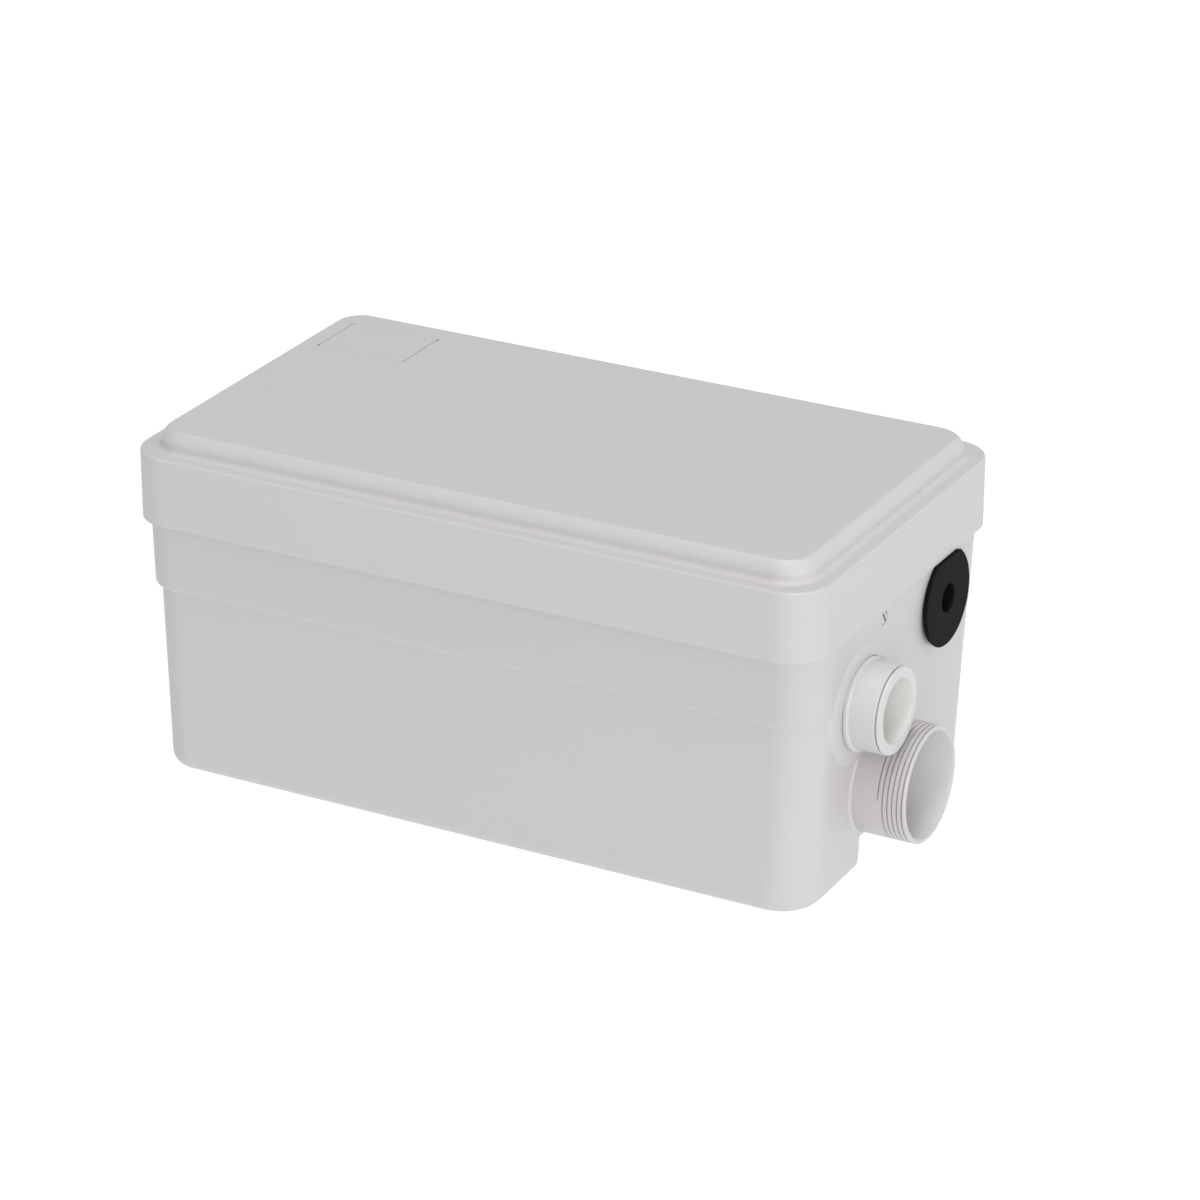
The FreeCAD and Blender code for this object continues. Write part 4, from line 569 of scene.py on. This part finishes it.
# Two small notches let a finger nail lift the cover at opposite corners.
NAIL_NOTCH, NAIL_INSET = 0.75, 0.4
for side in (-1, 1):
    x = HATCH[0] + side * HATCH_LENGTH / 2
    y = HATCH[1] + side * (HATCH_WIDTH / 2 - NAIL_INSET)
    bpy.ops.mesh.primitive_cylinder_add(vertices=24, radius=NAIL_NOTCH * MM, depth=HATCH_DEPTH * MM,
                                        location=Vector((x, y, LID_TOP)) * MM)
    settle()
    combine(lid, bpy.context.object)
GRILLE_SLOTS, GRILLE_PITCH, GRILLE_HALF, GRILLE_REACH = 5, 6.0, 1.5, 10.0
for number in range(GRILLE_SLOTS):
    x = HATCH[0] + (number - GRILLE_SLOTS // 2) * GRILLE_PITCH
    combine(lid, block((x - GRILLE_HALF, HATCH[1] - GRILLE_REACH, 130.0),
                       (x + GRILLE_HALF, HATCH[1] + GRILLE_REACH, 140.0)))

# A tongue hangs behind each end wall and straddles the screw there with its fork.
TONGUE_INNER, TONGUE_OUTER, TONGUE_HALF, TONGUE_BOTTOM = 140.4, 143.4, 8.0, 100.0
FORK_HALF, FORK_TOP = 2.2, 108.8
for side, _, _, offset in LOCKS:
    inner, outer = sorted((side * TONGUE_INNER, side * TONGUE_OUTER))
    combine(lid, block((inner, offset - TONGUE_HALF, TONGUE_BOTTOM),
                       (outer, offset + TONGUE_HALF, LEDGE - LID_WALL / 2)), "UNION")
    combine(lid, block((inner - 2.0, offset - FORK_HALF, 90.0), (outer + 2.0, offset + FORK_HALF, FORK_TOP)))
smooth(lid)
dress(lid, shell_abs, "lid", "lid")


# Vent cover: a flush plate of the same ABS that closes the filter's basket, held by its plug. Its ends
# stand a hair off the recess and its long sides fit closely.

COVER_END_GAP, COVER_SIDE_GAP, PLUG_GAP, PLUG_DEPTH = 0.56, 0.1, 0.6, 3.1
cover = hatch_block(HATCH_LENGTH - COVER_END_GAP, HATCH_WIDTH - COVER_SIDE_GAP,
                    LID_TOP - HATCH_DEPTH, LID_TOP)
only(cover)
bpy.ops.object.mode_set(mode="EDIT")
pick("EDGE", lambda edge: abs(edge.verts[0].co.z - edge.verts[1].co.z) > MM)
bpy.ops.mesh.bevel(affect="EDGES", offset=1.2 * MM, segments=4)
bpy.ops.object.mode_set(mode="OBJECT")
plug = hatch_block(MOUTH_LENGTH - PLUG_GAP, MOUTH_WIDTH - PLUG_GAP, LID_TOP - PLUG_DEPTH, LID_TOP - 0.5)
combine(cover, plug, "UNION")
cover.name = "vent_cover_plate"
smooth(cover)
dress(cover, shell_abs, "vent_cover", "vent_cover")


# Outlet spigot: one moulding of uncoloured polypropylene, creamier than the shell, with a collar that a
# nut inside the tank pulls against the pad, and a narrow groove behind its end ring.

spigot_profile = [
    (120.1, 12.9), (163.6, 12.9), (164.0, 13.3), (164.0, 16.7), (163.8, 17.1), (163.4, 17.3), (163.0, 17.3),
    (162.7, 17.0), (162.7, 16.3), (162.2, 16.3), (162.2, 17.1), (161.9, 17.4), (151.7, 17.5), (151.5, 18.2),
    (151.1, 18.6), (149.8, 18.6), (149.5, 18.3), (149.5, 15.0), (120.1, 15.0),
]
spigot = spun("outlet_spigot", spigot_profile, OUTLET)
smooth(spigot)
# Plain polypropylene, waxier than ABS and faintly cream.
spigot_plastic = moulded("cream_moulded_polypropylene", "#C5C4C3", 0.4, 0.5, 0.05, 0.02)
dress(spigot, spigot_plastic, "tank", "discharge_spigot")
# Its bore is smoother too, and is painted paler than the spigot: painted light that lifts the shade inside
# the bore.
pale_painted_bore_polypropylene = moulded("polypropylene_painted_paler_in_bore", "#E9E8E6", 0.3, 0.5, 0.03, 0.02)
paint_bore_paler(spigot, pale_painted_bore_polypropylene, OUTLET, 13.0)


# Cable grommet: a black rubber disc with a groove that clips in the tank's hole, cut flat where the
# lid's skirt comes down over it.

grommet_profile = [
    (143.0, 5.8), (151.1, 5.8), (151.5, 6.2), (151.5, 19.5), (151.2, 19.8), (150.9, 19.8), (149.5, 19.1),
    (149.5, 15.9), (145.0, 15.9), (145.0, 19.5), (144.7, 19.8), (143.3, 19.8), (143.0, 19.5),
]
GROMMET_TOP = SKIRT_BOTTOM - 0.3
grommet = spun("rubber_grommet", grommet_profile, CABLE)
only(grommet)
bpy.ops.object.mode_set(mode="EDIT")
bpy.ops.mesh.select_all(action="SELECT")
bpy.ops.mesh.bisect(plane_co=(0.0, 0.0, GROMMET_TOP * MM), plane_no=(0.0, 0.0, 1.0), use_fill=True,
                    clear_outer=True)
bpy.ops.object.mode_set(mode="OBJECT")
smooth(grommet)
# Soft black rubber: dull, with hardly any sheen.
black_rubber = moulded("black_moulded_rubber", "#0A0A0A", 0.8, 0.3, 0.1, ior=1.25)
dress(grommet, black_rubber, "tank", "cable_grommet")


# Lid screws: one short stainless screw in each end wall, its slotted head sunk in a recess. The screw
# passes the fork of the lid's tongue and turns in a captive nut.

TOOL_LINE_DEPTH, METAL_GLOSS_SPREAD = 0.05, 0.08


def metal(name, colour, roughness, stretch, relief):
    """Bare metal with fine tool lines: stretch gives the lines' spacing in mm along X, Y and Z."""
    made, tree = new_material(name)
    place = add(tree, "ShaderNodeTexCoord")
    lines = add(tree, "ShaderNodeMapping", {"Vector": place.outputs["Object"]})
    lines.inputs["Scale"].default_value = [1 / (length * MM) for length in stretch]
    grain = add(tree, "ShaderNodeTexNoise", {"Vector": lines.outputs["Vector"]},
                Scale=1.0, Detail=3.0, Roughness=0.6)
    gloss = add(tree, "ShaderNodeMapRange", {"Value": grain.outputs["Fac"]},
                To_Min=roughness - METAL_GLOSS_SPREAD, To_Max=roughness + METAL_GLOSS_SPREAD)
    bump = add(tree, "ShaderNodeBump", {"Height": grain.outputs["Fac"]}, Strength=relief,
               Distance=TOOL_LINE_DEPTH * MM)
    shader = add(tree, "ShaderNodeBsdfPrincipled",
                 {"Roughness": gloss.outputs["Result"], "Normal": bump.outputs["Normal"]},
                 Base_Color=linear(colour), Metallic=1.0)
    add(tree, "ShaderNodeOutputMaterial", {"Surface": shader.outputs["BSDF"]})
    return made


HEAD_RADIUS, HEAD_HEIGHT, SHANK_RADIUS, SCREW_LENGTH = 2.6, 1.4, 1.9, 11.2
SLOT_WIDTH, SLOT_DEPTH, SLOT_REACH, SLOT_TURN = 0.9, 1.0, 5.0, math.radians(28.0)


def screw_profile(face):
    """From the tip along the shank and over the rounded head, whose face stands at an X."""
    tip, under_head = face - SCREW_LENGTH, face - HEAD_HEIGHT
    return [(tip, 0.0), (tip, SHANK_RADIUS - 0.4), (tip + 0.4, SHANK_RADIUS), (under_head, SHANK_RADIUS),
            (under_head, HEAD_RADIUS), (face - 0.35, HEAD_RADIUS), (face - 0.1, HEAD_RADIUS - 0.3),
            (face, HEAD_RADIUS - 0.9), (face, 0.0)]


# Stainless bar turned on an automatic lathe.
screw_steel = metal("turned_stainless_steel", "#C9C9CB", 0.42, (0.2, 0.2, 8.0), 0.15)
screws = []
for side, face, _, offset in LOCKS:
    profile = [(side * x, radius) for x, radius in screw_profile(face)]
    screw = spun("lid_screw", profile, (offset, LOCK_HEIGHT), 48)
    slot = block((face - SLOT_DEPTH, offset - SLOT_WIDTH / 2, LOCK_HEIGHT - SLOT_REACH),
                 (face + 1.0, offset + SLOT_WIDTH / 2, LOCK_HEIGHT + SLOT_REACH))
    bpy.ops.transform.rotate(value=-SLOT_TURN, orient_axis="X",
                             center_override=(0.0, offset * MM, LOCK_HEIGHT * MM))
    settle()
    if side < 0:
        bpy.ops.transform.mirror(constraint_axis=(True, False, False), center_override=(0.0, 0.0, 0.0))
        settle()
        bpy.ops.object.mode_set(mode="EDIT")
        bpy.ops.mesh.select_all(action="SELECT")
        bpy.ops.mesh.normals_make_consistent(inside=False)
        bpy.ops.object.mode_set(mode="OBJECT")
    combine(screw, slot)
    screws.append(screw)
only(screws[0])
screws[1].select_set(True)
bpy.ops.object.join()
lid_screws = bpy.context.object
lid_screws.name = "slotted_lid_screws"
smooth(lid_screws)
dress(lid_screws, screw_steel, "tank", "lid_screws")


# Everything inside keeps its CAD shape and takes the finish of its real material: moulded nylon, drawn,
# ground, stacked and cast metals, enamelled wire, a lapped ceramic seal and the filter's felt.

finishes = {
    "shell_plastic": shell_abs,
    "spigot_plastic": spigot_plastic,
    "grey_plastic": moulded("grey_glass_filled_nylon", "#8A8C8E", 0.5, 0.4, 0.2),
    "dark_plastic": moulded("black_moulded_nylon", "#2A2B2D", 0.45, 0.4, 0.15),
    "white_plastic": moulded("white_capacitor_plastic", "#E6E5E0", 0.28, 0.6, 0.03),
    "soft_rubber": black_rubber,
    "bright_steel": metal("drawn_stainless_steel", "#C9C9CB", 0.3, (0.2, 0.2, 8.0), 0.15),
    "bearing_steel": metal("ground_bearing_steel", "#D2D3D6", 0.14, (4.0, 4.0, 0.1), 0.05),
    "core_steel": metal("stacked_electrical_steel", "#8F9094", 0.45, (20.0, 20.0, 0.5), 0.6),
    "winding_copper": metal("enamelled_copper_wire", "#B4622E", 0.3, (12.0, 12.0, 0.6), 0.8),
    "plate_metal": metal("die_cast_aluminium", "#B9BABD", 0.42, (0.8, 0.8, 0.8), 0.3),
    "seal_ceramic": moulded("lapped_alumina_ceramic", "#DAD6CC", 0.2, 0.3, 0.02),
    "carbon_felt": moulded("black_carbon_felt", "#1C1C1D", 0.95, 0.9, 1.0),
}
slots = {row["node"]: row["material_slot"] for row in frame["record"]["subparts"]}
for name, part in frame["nodes"].items():
    part.data.materials.clear()
    part.data.materials.append(finishes[slots[name]])
